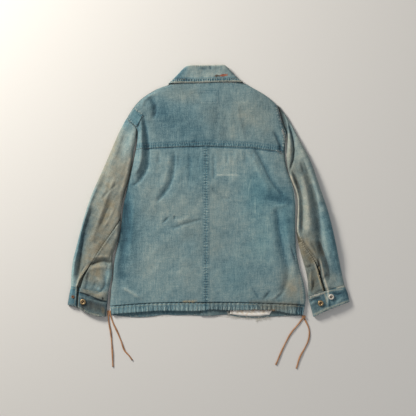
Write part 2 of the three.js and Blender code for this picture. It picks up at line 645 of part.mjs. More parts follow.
function cuffTop({ plan, ends, overlap, folds }, w, t, isOuterEnd) {
  const [x, y] = plan(w, t);
  const width = Math.hypot(plan(1, t)[0] - plan(0, t)[0], plan(1, t)[1] - plan(0, t)[1]);
  const flat = rolled(w * width, cuffRoll) * rolled((1 - w) * width, cuffRoll);
  const over = isOuterEnd ? overlap * smooth((w - ends[1][0] + 0.16) / 0.1) : 0;
  return new THREE.Vector3(x, y, edgeLevel + (cuffCrown + foldHeight(folds, x, y)) * flat + over);
}

function cuffPlaces(cuff) {
  const low = (w, t, z) => new THREE.Vector3(...cuff.plan(w, t), z);
  const [nearEdge, nearFlat] = [0.011, 0.045];
  return cuffRows.map((t) => {
    const [outerEnd, innerEnd] = cuff.ends.map(([top, bottom]) => mix(top, bottom, t));
    const outer = [1, 0.82, 0.64, 0.45].map((share) => outerEnd * share);
    const innerPart = [0.2, 0.4, 0.6, 0.8, 1].map((share) => mix(1 - nearFlat, innerEnd, share));
    return [
      ...[...outer, nearFlat, nearEdge].map((w) => cuffTop(cuff, w, t, true)),
      low(0, t, edgeLevel),
      ...[[nearEdge, 1.5], [nearFlat, restLevel], [0.35, restLevel], [0.65, restLevel],
        [1 - nearFlat, restLevel], [1 - nearEdge, 1.5], [1, edgeLevel]].map(([w, z]) => low(w, t, z)),
      ...[1 - nearEdge, 1 - nearFlat, ...innerPart].map((w) => cuffTop(cuff, w, t, false)),
    ];
  });
}
Object.entries(cuffs).forEach(([side, cuff]) =>
  add(`${side}_cuff`, sheetGeometry(cuffPlaces(cuff), wall), materials.blueDenim));

// Collar: one folded piece. Its leaf lies over the yoke, bends round both ends of the neck and
// lies below the fronts; its stand goes down inside it to the neck seam.
const standTop = edgeLevel + neckLift + backCrown + centreCrown;
const leafTop = standTop + leafRise;
const ringEdge = edgeLevel + neckLift;
const collarRoll = 9;
const rollLift = 2.4;
const rollLine = through([[-63, 377], [-40, 378.5], [20, 378], [49, 379]]);
const leafLine = through([[-121, 323], [-77, 325], [-32, 325], [45, 328], [104, 327.5]]);
const leafEnds = {
  left: through([[-63, 377], [-74, 371], [-89, 354], [-104, 339], [-121, 323]]),
  right: through([[49, 379], [68, 359], [89, 337], [104, 327.5]]),
};
const standEnds = {
  left: through([[-60, 376], [-74, 361], [-87, 345]]),
  right: through([[46, 378], [60, 362], [71, 346]]),
};
const collarPlans = {
  leaf: {
    back: coons(leafEnds.left, leafEnds.right, rollLine, leafLine),
    left: coons(leafEnds.left, through([[-12, 284], [-40, 262], [-66, 238]]),
      through([[-63, 377], [-52, 330], [-12, 284]]), through([[-121, 323], [-104, 284], [-66, 238]])),
    right: coons(leafEnds.right, through([[-4, 284], [24, 262], [50, 238]]),
      through([[49, 379], [38, 330], [-4, 284]]), through([[104, 327.5], [88, 284], [50, 238]])),
  },
  stand: {
    back: coons(standEnds.left, standEnds.right, through([[-60, 376], [-7, 376.5], [46, 378]]),
      through([[-87, 345], [-8, 348], [71, 346]])),
    left: coons(standEnds.left, through([[-12, 281], [-12, 269]]),
      through([[-60, 376], [-50, 330], [-12, 281]]),
      through([[-87, 345], [-76, 312], [-44, 282], [-12, 269]])),
    right: coons(standEnds.right, through([[-4, 281], [-4, 269]]),
      through([[46, 378], [36, 330], [-4, 281]]), through([[71, 346], [60, 312], [29, 282], [-4, 269]])),
  },
};
const layers = {
  leaf: { top: leafTop, low: restLevel, rows: [1, 0.75, 0.5, 0.25, 0.06] },
  stand: { top: standTop, low: restLevel + neckLift, rows: [0.12, 0.5, 1] },
};
const frontShares = [1, 0.8, 0.6, 0.4, 0.22, 0.1, 0.035];
const backShares = [0.014, 0.05, 0.12, ...spread(0.22, 0.78, 6), 0.88, 0.95, 0.986];
const ringColumns = [
  ...frontShares.map((share) => ['left', share]), ['back', 0],
  ...backShares.map((share) => ['back', share]), ['back', 1],
  ...[...frontShares].reverse().map((share) => ['right', share]),
];

function ringPlace(layer, r, [zone, share]) {
  const plan = collarPlans[layer][zone];
  const { top, low } = layers[layer];
  const [x, y] = plan(share, r);
  const distance = (end) => Math.hypot(x - plan(end, r)[0], y - plan(end, r)[1]);
  if (zone !== 'back') {
    const turned = (ringEdge - low) * (1 - rolled(distance(0), 6));
    return new THREE.Vector3(x, y, low + turned);
  }
  const thick = layer === 'leaf' ? rollLift * (1 - smooth(r / 0.55)) : 0;
  const flat = rolled(Math.min(distance(0), distance(1)), collarRoll);
  return new THREE.Vector3(x, y, ringEdge + (top + thick - ringEdge) * flat);
}

const foldRow = ringColumns.map((column) =>
  ringPlace('leaf', 0, column).lerp(ringPlace('stand', 0, column), 0.5));
add('collar', sheetGeometry([
  ...layers.leaf.rows.map((r) => ringColumns.map((column) => ringPlace('leaf', r, column))),
  foldRow,
  ...layers.stand.rows.map((r) => ringColumns.map((column) => ringPlace('stand', r, column))),
], wall), materials.paleDenim);

// Buttons: open-topped metal ones, and the back of one tack
const ringSegments = 15;
const discSegments = 12;
function turned(points, segments) {
  const outline = points.map(([x, y]) => new THREE.Vector2(x, y));
  return new THREE.LatheGeometry(outline, segments).rotateX(Math.PI / 2);
}
function ringButton(diameter, height) {
  const radius = diameter / 2;
  return turned([[0, 0], [radius, 0], [radius, 0.55 * height], [0.86 * radius, height],
    [0.46 * radius, height], [0.34 * radius, 0.5 * height], [0, 0.5 * height]], ringSegments);
}
function placeAt(name, geometry, material, x, y, z) {
  add(name, geometry, material).position.set(x, y, z);
}
const overCloth = 0.3;
const cuffSurface = edgeLevel + cuffCrown + wall / 2 + overCloth;
const overSurface = cuffSurface + cuffs.right.overlap;
const cuffButton = ringButton(buttonDiameter, buttonHeight);
const tackBack = ringButton(tackDiameter, 2);
placeAt('left_cuff_button', cuffButton, materials.brass, -376, -330, cuffSurface);
placeAt('left_cuff_tack', tackBack, materials.rust, -406, -315, cuffSurface);
placeAt('right_cuff_button_outer', cuffButton.clone(), materials.whiteMetal, 366, -315, overSurface);
placeAt('right_cuff_button_inner', cuffButton.clone(), materials.brass, 334.5, -334, cuffSurface);
const frontDisc = [[0, 0], [8, 0], [buttonDiameter / 2, 1.2], [buttonDiameter / 2, 2.8],
  [7, buttonHeight], [0, buttonHeight]];
buttonPlaces.forEach((y, k) => {
  placeAt(`front_button_${k + 1}`, turned(frontDisc, discSegments), materials.brass, centreBack, y, 0);
});

// Drawstring: flat leather laces out of both ends of the hem casing, one pair in a knot
const laces = {
  left_lace_outer: [[-301.8, -357], [-301, -372], [-299, -396], [-294, -421], [-291, -451],
    [-289, -485], [-287, -526]],
  left_lace_inner: [[-296.1, -357], [-294.9, -370], [-286, -396], [-274, -421], [-262, -451],
    [-253, -476], [-239, -492], [-229, -506]],
  right_lace_inner: [[281.0, -381.5], [271, -395], [248, -423], [232, -451], [216, -485], [201, -520]],
  right_lace_outer: [[287.1, -382.1], [298, -404], [302, -423], [299, -446], [287, -472],
    [273, -497], [263, -531]],
};
const laceSides = 8;
const laceSteps = 14;
const aboveTable = 0.05;
const sectionShare = 0.54;
const laceSection = new THREE.Shape(Array.from({ length: laceSides }, (_, k) => {
  const angle = (2 * Math.PI * (k + 0.5)) / laceSides;
  return new THREE.Vector2(laceThickness * Math.cos(angle), laceWidth * Math.sin(angle))
    .multiplyScalar(sectionShare);
}));
Object.entries(laces).forEach(([name, points]) => {
  const middle = laceThickness / 2 + aboveTable;
  const route = new THREE.CatmullRomCurve3(points.map(([x, y]) => new THREE.Vector3(x, y, middle)));
  const lace = new THREE.ExtrudeGeometry(laceSection, { steps: laceSteps, extrudePath: route });
  add(name, lace, materials.leather);
});
const knotRadius = [6, 6.4, 3.6];
placeAt('right_lace_knot', new THREE.SphereGeometry(1, 10, 8).scale(...knotRadius), materials.leather,
  284.6, -376.6, knotRadius[2] + aboveTable);

export default jacket;
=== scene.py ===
# A faded denim work jacket laid flat with its back up. Marks and spots are in photo pixels; seams,
# stitches, frays, laces and sizes of relief are in millimetres; lights, the table and flat cuts are
# in metres. Each cloth piece is a finer copy of its imported solid, given its creases, roped seams
# and puckers, then sewn, frayed and dyed, with painted shade in its creases, gaps and holes.
import math
import random

import bmesh
import bpy
import numpy as np
from mathutils import Matrix, Vector
from mathutils.bvhtree import BVHTree


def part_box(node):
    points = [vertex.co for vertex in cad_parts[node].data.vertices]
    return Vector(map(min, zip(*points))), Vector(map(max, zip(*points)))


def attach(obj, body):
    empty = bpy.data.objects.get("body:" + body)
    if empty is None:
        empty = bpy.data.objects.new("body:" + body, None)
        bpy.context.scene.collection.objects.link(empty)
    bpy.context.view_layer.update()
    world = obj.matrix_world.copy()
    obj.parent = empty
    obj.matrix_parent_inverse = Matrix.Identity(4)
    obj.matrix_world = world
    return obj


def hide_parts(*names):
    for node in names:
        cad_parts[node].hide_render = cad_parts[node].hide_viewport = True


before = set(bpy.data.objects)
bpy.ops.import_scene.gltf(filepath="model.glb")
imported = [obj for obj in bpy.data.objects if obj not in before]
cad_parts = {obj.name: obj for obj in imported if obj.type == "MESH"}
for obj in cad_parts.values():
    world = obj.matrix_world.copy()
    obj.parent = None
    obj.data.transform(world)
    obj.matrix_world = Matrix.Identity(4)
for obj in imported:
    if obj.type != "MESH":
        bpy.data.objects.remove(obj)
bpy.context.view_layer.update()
random.seed(23)
mm = 0.001

# Camera, light and table, in metres; the sensor alone is in millimetres
view = {"width": 1.248, "x": -0.0021, "y": -0.0495, "distance": 3.4, "sensor": 36}
lights = {
    "key": {"place": (-2.0, 1.7, 1.35), "size": 0.8, "power": 112, "colour": "#fffaf2"},
    "fill": {"place": (1.8, -1.2, 2.2), "size": 2.4, "power": 12, "colour": "#f2f6ff"},
}
table = {"colour": "#dcdad6", "size": 6, "level": -0.0004, "ambient": 0.27}


def linear(hexColour):
    # sRGB hex to linear
    parts = [int(hexColour[k:k + 2], 16) / 255 for k in (1, 3, 5)]
    return tuple(p / 12.92 if p <= 0.04045 else ((p + 0.055) / 1.055) ** 2.4 for p in parts) + (1,)


def addNode(tree, kind, settings=None, inputs=None):
    made = tree.nodes.new("ShaderNode" + kind)
    for name, value in (settings or {}).items():
        setattr(made, name, value)
    for name, value in (inputs or {}).items():
        if isinstance(value, bpy.types.NodeSocket):
            tree.links.new(value, made.inputs[name])
        else:
            made.inputs[name].default_value = value
    return made


def linkObject(name, data):
    made = bpy.data.objects.new(name, data)
    bpy.context.scene.collection.objects.link(made)
    return made


camera = linkObject("camera", bpy.data.cameras.new("camera"))
camera.data.sensor_width = view["sensor"]
camera.data.lens = view["sensor"] * view["distance"] / view["width"]
camera.location = (view["x"], view["y"], view["distance"])
bpy.context.scene.camera = camera
for lightName, light in lights.items():
    lamp = linkObject(lightName, bpy.data.lights.new(lightName, "AREA"))
    lamp.data.energy = light["power"]
    lamp.data.size = light["size"]
    lamp.data.color = linear(light["colour"])[:3]
    lamp.location = light["place"]
    lamp.rotation_euler = (-Vector(light["place"])).to_track_quat("-Z", "Y").to_euler()
world = bpy.data.worlds.new("studio")
bpy.context.scene.world = world
world.use_nodes = True
world.node_tree.nodes["Background"].inputs["Color"].default_value = (1, 1, 1, 1)
world.node_tree.nodes["Background"].inputs["Strength"].default_value = table["ambient"]
bpy.context.scene.view_settings.view_transform = "Standard"
print("camera and lights")


# Materials
def startMaterial(name):
    made = bpy.data.materials.new(name)
    made.use_nodes = True
    made.node_tree.nodes.clear()
    return made, made.node_tree


def endMaterial(tree, colour, inputs, height=None, bump=(0.3, 0.0003)):
    # Closes a material with its shader, and with a bump where a height is given
    shader = addNode(tree, "BsdfPrincipled", inputs={"Base Color": colour, **inputs})
    if height is not None:
        bumped = addNode(tree, "Bump", inputs={
            "Strength": bump[0], "Distance": bump[1], "Height": height})
        tree.links.new(bumped.outputs[0], shader.inputs["Normal"])
    addNode(tree, "OutputMaterial", inputs={"Surface": shader.outputs[0]})


def mixColours(tree, share, first, second, blend="MIX"):
    return addNode(tree, "Mix", {"data_type": "RGBA", "blend_type": blend},
                   {0: share, 6: first, 7: second}).outputs[2]


def sums(tree, operation, first, second, third=None):
    made = addNode(tree, "Math", {"operation": operation})
    for k, value in enumerate(v for v in (first, second, third) if v is not None):
        if isinstance(value, bpy.types.NodeSocket):
            tree.links.new(value, made.inputs[k])
        else:
            made.inputs[k].default_value = value
    return made.outputs[0]


def clamped(tree, value):
    return addNode(tree, "Clamp", inputs={"Value": value}).outputs[0]


def objectPlace(tree):
    return addNode(tree, "TexCoord").outputs["Object"]


def noiseAt(tree, place, scale, detail):
    return addNode(tree, "TexNoise", inputs={
        "Vector": place, "Scale": scale, "Detail": detail}).outputs["Fac"]


def attribute(tree, name):
    return addNode(tree, "Attribute", {"attribute_name": name}).outputs["Fac"]


def finishMesh(shape, name, *materials):
    # Turns a bmesh into a smooth mesh with its materials
    made = bpy.data.meshes.new(name)
    shape.to_mesh(made)
    shape.free()
    for material in materials:
        made.materials.append(material)
    made.shade_smooth()
    return made


# Indigo-dyed cotton twill: the blue warp has faded to grey, its slubs show as short pale streaks
# along the grain, and it is quite matt. Real wales are 1 mm apart; they are drawn 2.4 mm apart,
# as anything finer would not show.
denimLook = {
    "slubPitch": 2.2, "slubLength": 26, "mottlePitch": 17, "blotchPitch": 70, "specklePitch": 2.6,
    "wale": 2.4, "roughness": 0.93,
    "dye": [(0.0, "#0f1c24"), (0.2, "#213b48"), (0.4, "#456570"), (0.58, "#6f898e"),
            (0.76, "#98a8a4"), (1.0, "#d3d2c8")],
    "fresh": "#d4f6ff",
    "ropeWander": 11, "wander": 10.0, "uneven": (2.2, -0.2), "soilUneven": (1.5, 0.25), "middle": 0.575,
    "waleScale": 0.31, "waleHeight": 0.5, "ropeHeight": 1.6,
    "weight": {"slub": 0.30, "weft": 0.16, "mottle": 0.18, "blotch": 0.18, "speckle": 0.32, "rope": 0.36},
    "soil": [(0.0, "#494537"), (0.45, "#777260"), (1.0, "#b0aa98")],
}


def dyeRamp(tree, share, stops):
    ramp = addNode(tree, "ValToRGB", inputs={"Fac": share})
    bands = ramp.color_ramp.elements
    while len(bands) < len(stops):
        bands.new(0.5)
    for band, (place, colour) in zip(bands, stops):
        band.position = place
        band.color = linear(colour)
    return ramp.outputs["Color"]


def makeDenim(name, grainTurn):
    # grainTurn is the angle of the warp from +Y, in degrees
    weight = denimLook["weight"]
    made, tree = startMaterial(name)
    place = objectPlace(tree)
    turned = addNode(tree, "Mapping", inputs={
        "Vector": place, "Rotation": (0, 0, -math.radians(grainTurn))}).outputs[0]

    def noise(pitch, length=None, detail=2, rough=0.6):
        scaled = addNode(tree, "Mapping", inputs={
            "Vector": turned, "Scale": (1, pitch / (length or pitch), 1)}).outputs[0]
        return addNode(tree, "TexNoise", inputs={
            "Vector": scaled, "Scale": 1 / (pitch * mm), "Detail": detail, "Roughness": rough}).outputs["Fac"]

    slub = noise(denimLook["slubPitch"], denimLook["slubLength"])
    weft = noise(denimLook["slubLength"], denimLook["slubPitch"] * 2)
    mottle = noise(denimLook["mottlePitch"], detail=4)
    blotch = noise(denimLook["blotchPitch"], detail=3)
    speckle = noise(denimLook["specklePitch"], detail=1)
    # this attribute holds the fading of the cloth together with painted shade in creases, gaps and holes and
    # painted highlights on ridges
    fadeAndShade = attribute(tree, "fadeAndShade")
    soil = attribute(tree, "soil")
    streaks = sums(tree, "MULTIPLY_ADD", slub, weight["slub"], sums(tree, "MULTIPLY", weft, weight["weft"]))
    blotched = sums(tree, "MULTIPLY", blotch, weight["blotch"])
    cloudy = sums(tree, "MULTIPLY_ADD", mottle, weight["mottle"], blotched)
    wear = sums(tree, "ADD", streaks, sums(tree, "MULTIPLY_ADD", speckle, weight["speckle"], cloudy))
    run = attribute(tree, "run")
    band = attribute(tree, "band")
    wander = sums(tree, "MULTIPLY_ADD", noise(denimLook["ropeWander"]), denimLook["wander"], run)
    uneven = sums(tree, "MULTIPLY", band, sums(tree, "MULTIPLY_ADD", mottle, *denimLook["uneven"]))
    roped = sums(tree, "MULTIPLY", sums(tree, "COSINE", wander, 0), uneven)
    wear = sums(tree, "MULTIPLY_ADD", roped, weight["rope"], wear)
    level = sums(tree, "ADD", fadeAndShade, sums(tree, "SUBTRACT", wear, denimLook["middle"]))
    dyed = dyeRamp(tree, level, denimLook["dye"])
    dirt = dyeRamp(tree, level, denimLook["soil"])
    fresh = clamped(tree, sums(tree, "MULTIPLY", soil, -1.0))
    fresher = mixColours(tree, 1.0, dyed, linear(denimLook["fresh"]), "MULTIPLY")
    soiled = sums(tree, "MULTIPLY", soil, sums(tree, "MULTIPLY_ADD", mottle, *denimLook["soilUneven"]))
    colour = mixColours(tree, clamped(tree, soiled), mixColours(tree, fresh, dyed, fresher), dirt)
    wales = addNode(tree, "TexWave", {"wave_type": "BANDS", "bands_direction": "DIAGONAL"}, {
        "Vector": turned, "Scale": denimLook["waleScale"] / (denimLook["wale"] * mm), "Distortion": 1.2,
        "Detail": 1, "Detail Scale": 2}).outputs["Fac"]
    ropes = sums(tree, "MULTIPLY_ADD", roped, denimLook["ropeHeight"], streaks)
    height = sums(tree, "MULTIPLY_ADD", wales, denimLook["waleHeight"], ropes)
    endMaterial(tree, colour, {"Roughness": denimLook["roughness"], "Sheen Weight": 0.12,
                               "Sheen Roughness": 0.6, "Specular IOR Level": 0.25}, height, (0.55, 0.0004))
    return made


# Colour and shape of the worn cloth
def lineField(points, x, y):
    # Distance from a line, above zero on the left of its heading, then the place along it and its length
    best = np.full(x.shape, 1e9)
    along = np.zeros(x.shape)
    side = np.ones(x.shape)
    run = 0
    for (ax, ay), (bx, by) in zip(points, points[1:]):
        length = math.hypot(bx - ax, by - ay)
        t = ((x - ax) * (bx - ax) + (y - ay) * (by - ay)) / length ** 2
        t = np.clip(t, 0, 1)
        gap = np.hypot(x - ax - (bx - ax) * t, y - ay - (by - ay) * t)
        closer = gap < best
        best = np.where(closer, gap, best)
        along = np.where(closer, run + t * length, along)
        cross = (bx - ax) * (y - ay) - (by - ay) * (x - ax)
        side = np.where(closer, np.where(cross >= 0, 1.0, -1.0), side)
        run += length
    return best * side, along, run


def valueNoise(x, y, pitch, seed):
    # Smooth noise from -1 to 1 on a lattice of that pitch
    lattice = np.random.default_rng(seed).uniform(-1, 1, (256, 256))
    u, v = x / pitch + 128, y / pitch + 128
    i, j = np.floor(u).astype(int), np.floor(v).astype(int)
    s, t = u - i, v - j
    s, t = s * s * (3 - 2 * s), t * t * (3 - 2 * t)
    at = lambda a, b: lattice[(i + a) % 256, (j + b) % 256]
    return (at(0, 0) * (1 - s) * (1 - t) + at(1, 0) * s * (1 - t)
            + at(0, 1) * (1 - s) * t + at(1, 1) * s * t)


def smoothStep(value):
    held = np.clip(value, 0, 1)
    return held * held * (3 - 2 * held)


# Where the photo shows a fold, crease, stain or worn line: its line in photo pixels, then height in mm
# (a trough is below zero), width in mm or the widths to its right and left, more fading and more soil.
# In troughs, gaps and holes the darker fading is painted shade, and the soil there is partly painted
# shade too; on ridges the paler fading is wear and painted highlight.
photoPitch = 3.0
photoMiddle = (208.7, 191.5)
bodyMarks = {
    "shoulder hollow": ([(146, 97), (152, 100), (155.5, 106), (156, 113), (152, 121)],
        -3.2, (9, 4), -0.12, 0),
    "shoulder roll": ([(161, 93), (151, 95), (144, 101), (141, 110)], 1.4, 5, 0.07, 0),
    "armhole fold": ([(143, 116), (146.5, 128), (148, 140), (148.6, 152), (148.6, 163), (146.5, 171),
        (142, 178), (138, 185)], -4.2, (10, 4), -0.13, 0),
    "armhole ridge": ([(141, 116), (142, 130), (142, 145), (142, 158), (139, 168), (134, 176)],
        2.4, 6, 0.05, 0),
    "armhole crease": ([(131, 187), (136, 184), (141, 179)], -1.6, 4, -0.07, 0),
    "long fold": ([(175, 150), (175, 165), (173, 178), (168.5, 189), (162, 197), (155, 204)],
        -2.4, (9, 3.4), -0.11, 0),
    "long ridge": ([(169, 154), (168, 170), (164, 184), (156, 192)], 1.0, 9, 0.04, 0),
    "elbow crease": ([(162, 224), (166, 220), (170, 216)], -1.8, 3, -0.13, 0),
    "elbow crease 2": ([(174.5, 215), (175, 220)], -1.8, 3, -0.13, 0),
    "sagging crease": ([(167, 225), (174, 228), (182, 225), (192, 222), (203, 219)], -1.5, 4, -0.08, 0),
    "sagging ridge": ([(172, 222), (180, 221), (192, 217)], 1.1, 6, 0.06, 0),
    "side trough": ([(128, 200), (127, 215), (125, 235), (123, 250), (121, 268), (122, 282)],
        -2.0, (12, 16), -0.08, 0),
    "side ridge": ([(134, 190), (133, 215), (131, 240), (129, 262)], 1.4, 9, 0.03, 0),
    "pale ridge": ([(119, 286), (130, 291), (144, 300)], 1.5, 5, 0.12, 0.1),
    "yoke pucker 1": ([(159, 151), (159, 166)], -1.0, 5, -0.05, 0),
    "yoke pucker 2": ([(179, 151), (178, 172)], -1.0, 6, -0.05, 0),
    "yoke pucker 3": ([(190, 150), (189, 188)], -1.0, 6, -0.07, 0),
    "yoke pucker 4": ([(199, 150), (199, 170)], -0.7, 5, -0.05, 0),
    "yoke pucker 5": ([(214, 150), (214, 182)], -1.1, 5, -0.07, 0),
    "yoke pucker 6": ([(227, 150), (227, 166)], -1.0, 4, -0.06, 0),
    "yoke pucker 7": ([(236, 150), (236, 162)], 0.8, 5, 0.03, 0),
    "yoke pucker 8": ([(245, 150), (246, 165)], -1.0, 5, -0.05, 0),
    "yoke pucker 9": ([(252, 151), (253, 162)], -0.9, 4, -0.05, 0),
    "yoke fold": ([(219, 104), (217, 122), (215, 144)], -0.9, (14, 7), -0.05, 0),
    "yoke ridge": ([(231, 104), (230, 125), (231, 144)], 0.8, 8, 0.03, 0),
    "yoke fold 2": ([(239, 104), (242, 120), (248, 144)], -1.1, (6, 16), -0.06, 0.08),
    "right diagonal": ([(252, 147), (259, 156), (264.5, 167), (270, 179), (277, 189), (285, 198)],
        -2.6, (4, 9), -0.12, 0),
    "right diagonal ridge": ([(250, 154), (257, 167), (263, 180), (271, 193)], 1.6, 8, 0.05, 0),
    "armhole pull": ([(272, 129), (276.5, 137), (280, 146), (282, 153)], -2.8, (4, 6), -0.2, 0),
    "armhole pull 2": ([(278, 146), (283, 156)], -1.8, 4, -0.1, 0),
    "right shadow": ([(264, 196), (276, 199), (288, 200), (295, 197)], -1.6, 14, -0.12, 0),
    "right shadow edge": ([(270, 207), (280, 206), (290, 203)], 1.2, 6, 0.07, 0),
    "right long fold": ([(276, 206), (278, 216), (279, 227), (281, 238), (283, 249), (286, 260),
        (288.5, 271), (287, 283), (282, 293), (275, 300)], -2.8, (12, 4.5), -0.10, 0),
    "right long ridge": ([(284, 208), (285, 225), (288, 240), (291, 255), (294, 270), (293, 286)],
        1.2, 8, 0.03, 0),
    "right small fold": ([(290, 243), (293, 253), (296, 263)], -1.6, 3.5, -0.09, 0),
    "hem gather 1": ([(251, 286), (256, 294), (261, 301)], -1.8, 3.5, -0.09, 0),
    "hem gather 2": ([(271, 290), (266, 296), (262, 301)], -2.2, 3.5, -0.13, 0.1),
    "hem gather 3": ([(284, 289), (276, 296), (268, 301)], 1.8, 5, 0.07, 0.1),
    "centre crease": ([(210, 184), (215, 192), (223, 198), (232, 200)], -1.2, 4, -0.05, 0),
    "worn scratch": ([(217, 175), (238, 175)], 0, 2, 0.16, 0),
    "worn scratch 2": ([(255, 198), (255, 213)], 0, 2, 0.14, 0),
    "worn scratch 3": ([(248, 191), (251, 180)], 0, 2, 0.1, 0),
    "yoke edge": ([(141, 149.4), (175, 147.6), (205, 146.8), (251, 148.6), (281, 152.5)],
        -0.8, 1.8, -0.2, 0),
    "yoke band": ([(141, 146), (175, 144.6), (205, 143.6), (251, 145.4), (281, 149)], 0, 7, -0.08, -0.45),
    "centre band": ([(206, 148), (206, 310)], 0, 6.5, -0.08, -0.35),
    "centre band low": ([(206, 276), (206, 300)], 0, 7, -0.08, 0),
    "hem rust": ([(250, 301.5), (266, 302), (280, 303), (296, 304.5)], 0, 6, -0.05, 0.3),
    "hem rust 2": ([(262, 307), (285, 308)], 0, 8, -0.03, 0.3),
    "hem rust 3": ([(183, 301.5), (196, 300.5)], 0, 3.5, 0.05, 0.7),
    "corner": ([(298, 303), (299, 312)], 0, 9, -0.14, 0),
    "side stitches": ([(299, 276), (301, 290), (302, 303)], 0, 5, 0.08, 0.3),
    "patch edge": ([(229, 312), (252, 310.5), (274, 310)], 0, 3, -0.15, 0.5),
}
leftSleeveMarks = {
    # painted shade: the sleeve darkens along the gap between it and the body
    "armhole gap shade": ([(136.5, 127), (137, 134), (136.5, 142), (134, 152), (131.5, 165), (128.6, 180),
        (125, 191), (123.2, 200), (122.6, 212), (120.6, 230), (118.4, 240), (116.5, 250)], 0, 2.6, -0.4, 0),
    "inner edge": ([(132, 152), (129, 166), (125.5, 180), (121.5, 196), (120, 212), (117.5, 228),
        (115.5, 242)], 0.5, 6, 0.17, 0.1),
    "outer trough": ([(94, 206), (89, 219), (85, 233), (82, 247), (80, 260), (79, 272), (78, 282)],
        -2.6, (5, 14), -0.13, -0.1),
    "outer hollow": ([(112, 162), (105, 178), (98, 195)], -1.2, 9, -0.04, 0),
    "outer ridge": ([(98, 184), (90, 203), (83, 224), (79, 243), (75, 262), (73, 280)], 2.4, 6, 0.06, -0.5),
    "upper ridge": ([(124, 128), (119, 145), (112, 163), (106, 180)], 1.5, 8, 0.03, -0.1),
    "stain": ([(110, 196), (109, 204), (108, 211)], -0.8, 13, -0.10, 0.25),
    "stain low": ([(106, 216), (103, 226)], 0, 12, -0.05, 0.15),
    "stain 2": ([(104, 184), (112, 190)], -0.8, 8, -0.05, 0.2),
    "crease": ([(120, 183), (112, 189), (105, 196), (98, 203)], -1.3, (5, 3), -0.07, 0),
    "long ridge": ([(116, 176), (110, 192), (104, 208), (98, 224), (93, 240)], 1.4, 6, 0.05, 0.05),
    "long ridge 2": ([(117, 204), (110, 218), (102, 232)], 1.0, 4, 0.06, 0),
    "long trough": ([(113, 200), (106, 214), (99, 230)], -1.0, 4, -0.05, 0),
    "back seam": ([(121, 219), (113, 231), (104, 243), (97, 254), (93, 262)], -0.8, 2.2, -0.12, 0),
    "seam ridge": ([(119, 224), (108, 240), (100, 252), (96, 258)], 0.6, 4, 0.0, 0),
    "olive patch": ([(98, 243), (102, 246)], 0.4, 8, -0.08, 0.5),
    "tuck": ([(88, 267), (94, 263.5), (100, 261.5), (105, 261), (110, 262.5), (116, 260)],
        -3.6, (3, 5), -0.26, 0),
    "tuck 2": ([(105, 262), (108, 266), (108, 270)], -1.6, 3, -0.12, 0),
    "puff rim": ([(81, 291), (87, 295), (94, 299), (102, 300.5), (111, 298)], -1.0, 3.2, -0.06, 0),
    "puff hang": ([(80, 289), (90, 293), (98, 295), (110, 293)], 0.9, 8, 0.10, 0.5),
    "puff edge": ([(90, 270), (88, 278), (87, 286)], -2.0, 4, -0.14, 0),
    "puff inner": ([(104, 274), (106, 281), (104, 288)], -1.4, 4, -0.1, 0),
    "strip pucker": ([(88, 262), (83, 270), (80, 278)], -1.2, 3, -0.12, -0.3),
    "tuck lip": ([(90, 259), (97, 257), (104, 256.5), (114, 257)], 2.0, 5, 0.08, 0.15),
    "puff": ([(88, 270), (96, 267), (104, 266), (114, 268)], 2.8, 7, 0.08, 0.15),
    "puff shine": ([(108, 268), (110, 276), (108, 284)], 1.2, 9, 0.1, -0.45),
    "puff stain": ([(96, 268), (98, 273)], 0, 6, 0, 0.3),
    "puff mottle": ([(94, 276), (99, 279), (103, 284)], 0.8, 5, 0.12, -0.1),
    "puff mottle 2": ([(97, 287), (102, 292)], 0.9, 4, 0.12, -0.5),
    "low fold": ([(88, 281), (86, 288), (89, 294), (97, 296)], -2.2, 4, -0.12, -0.1),
    "low fold 2": ([(96, 294), (102, 290), (107, 284)], -2.4, 3.2, -0.14, -0.2),
    "low fold 3": ([(97, 281), (93, 288)], -1.4, 4, -0.06, -0.1),
    # painted shade: the hole is painted near black
    "hole shade": ([(102.4, 298.8), (104.4, 298)], -3, 2.6, -0.5, 0),
    "slit lip": ([(88, 264), (82, 272), (78.3, 281), (77, 290), (77, 304)], 0.6, 2.6, 0.22, 0.4),
    "cuff grey": ([(84, 303), (95, 306), (105, 308)], 0, 16, -0.05, 0.05),
    "cuff top": ([(80, 296), (90, 299), (100, 302), (108, 303)], 0, 2.5, 0.12, 0.1),
    "cuff split": ([(78.6, 290), (78.4, 298), (78, 307)], 0, 2.2, 0.34, 0.45),
    "cuff edge": ([(69, 306), (78, 307.5), (90, 313), (104, 316.5)], 0, 3, 0.14, 0.2),
    "cuff edge dark": ([(83, 298), (82, 304), (84, 310)], 0, 3, -0.2, 0.1),
    "cuff mark": ([(103, 308), (104, 313)], 0, 5, 0, 0.6),
    "cuff fold": ([(90, 300), (93, 307)], -1.2, 4, -0.08, 0),
    "strip": ([(74, 268), (72, 285), (71, 302)], 0, 7, 0.12, -0.3),
}
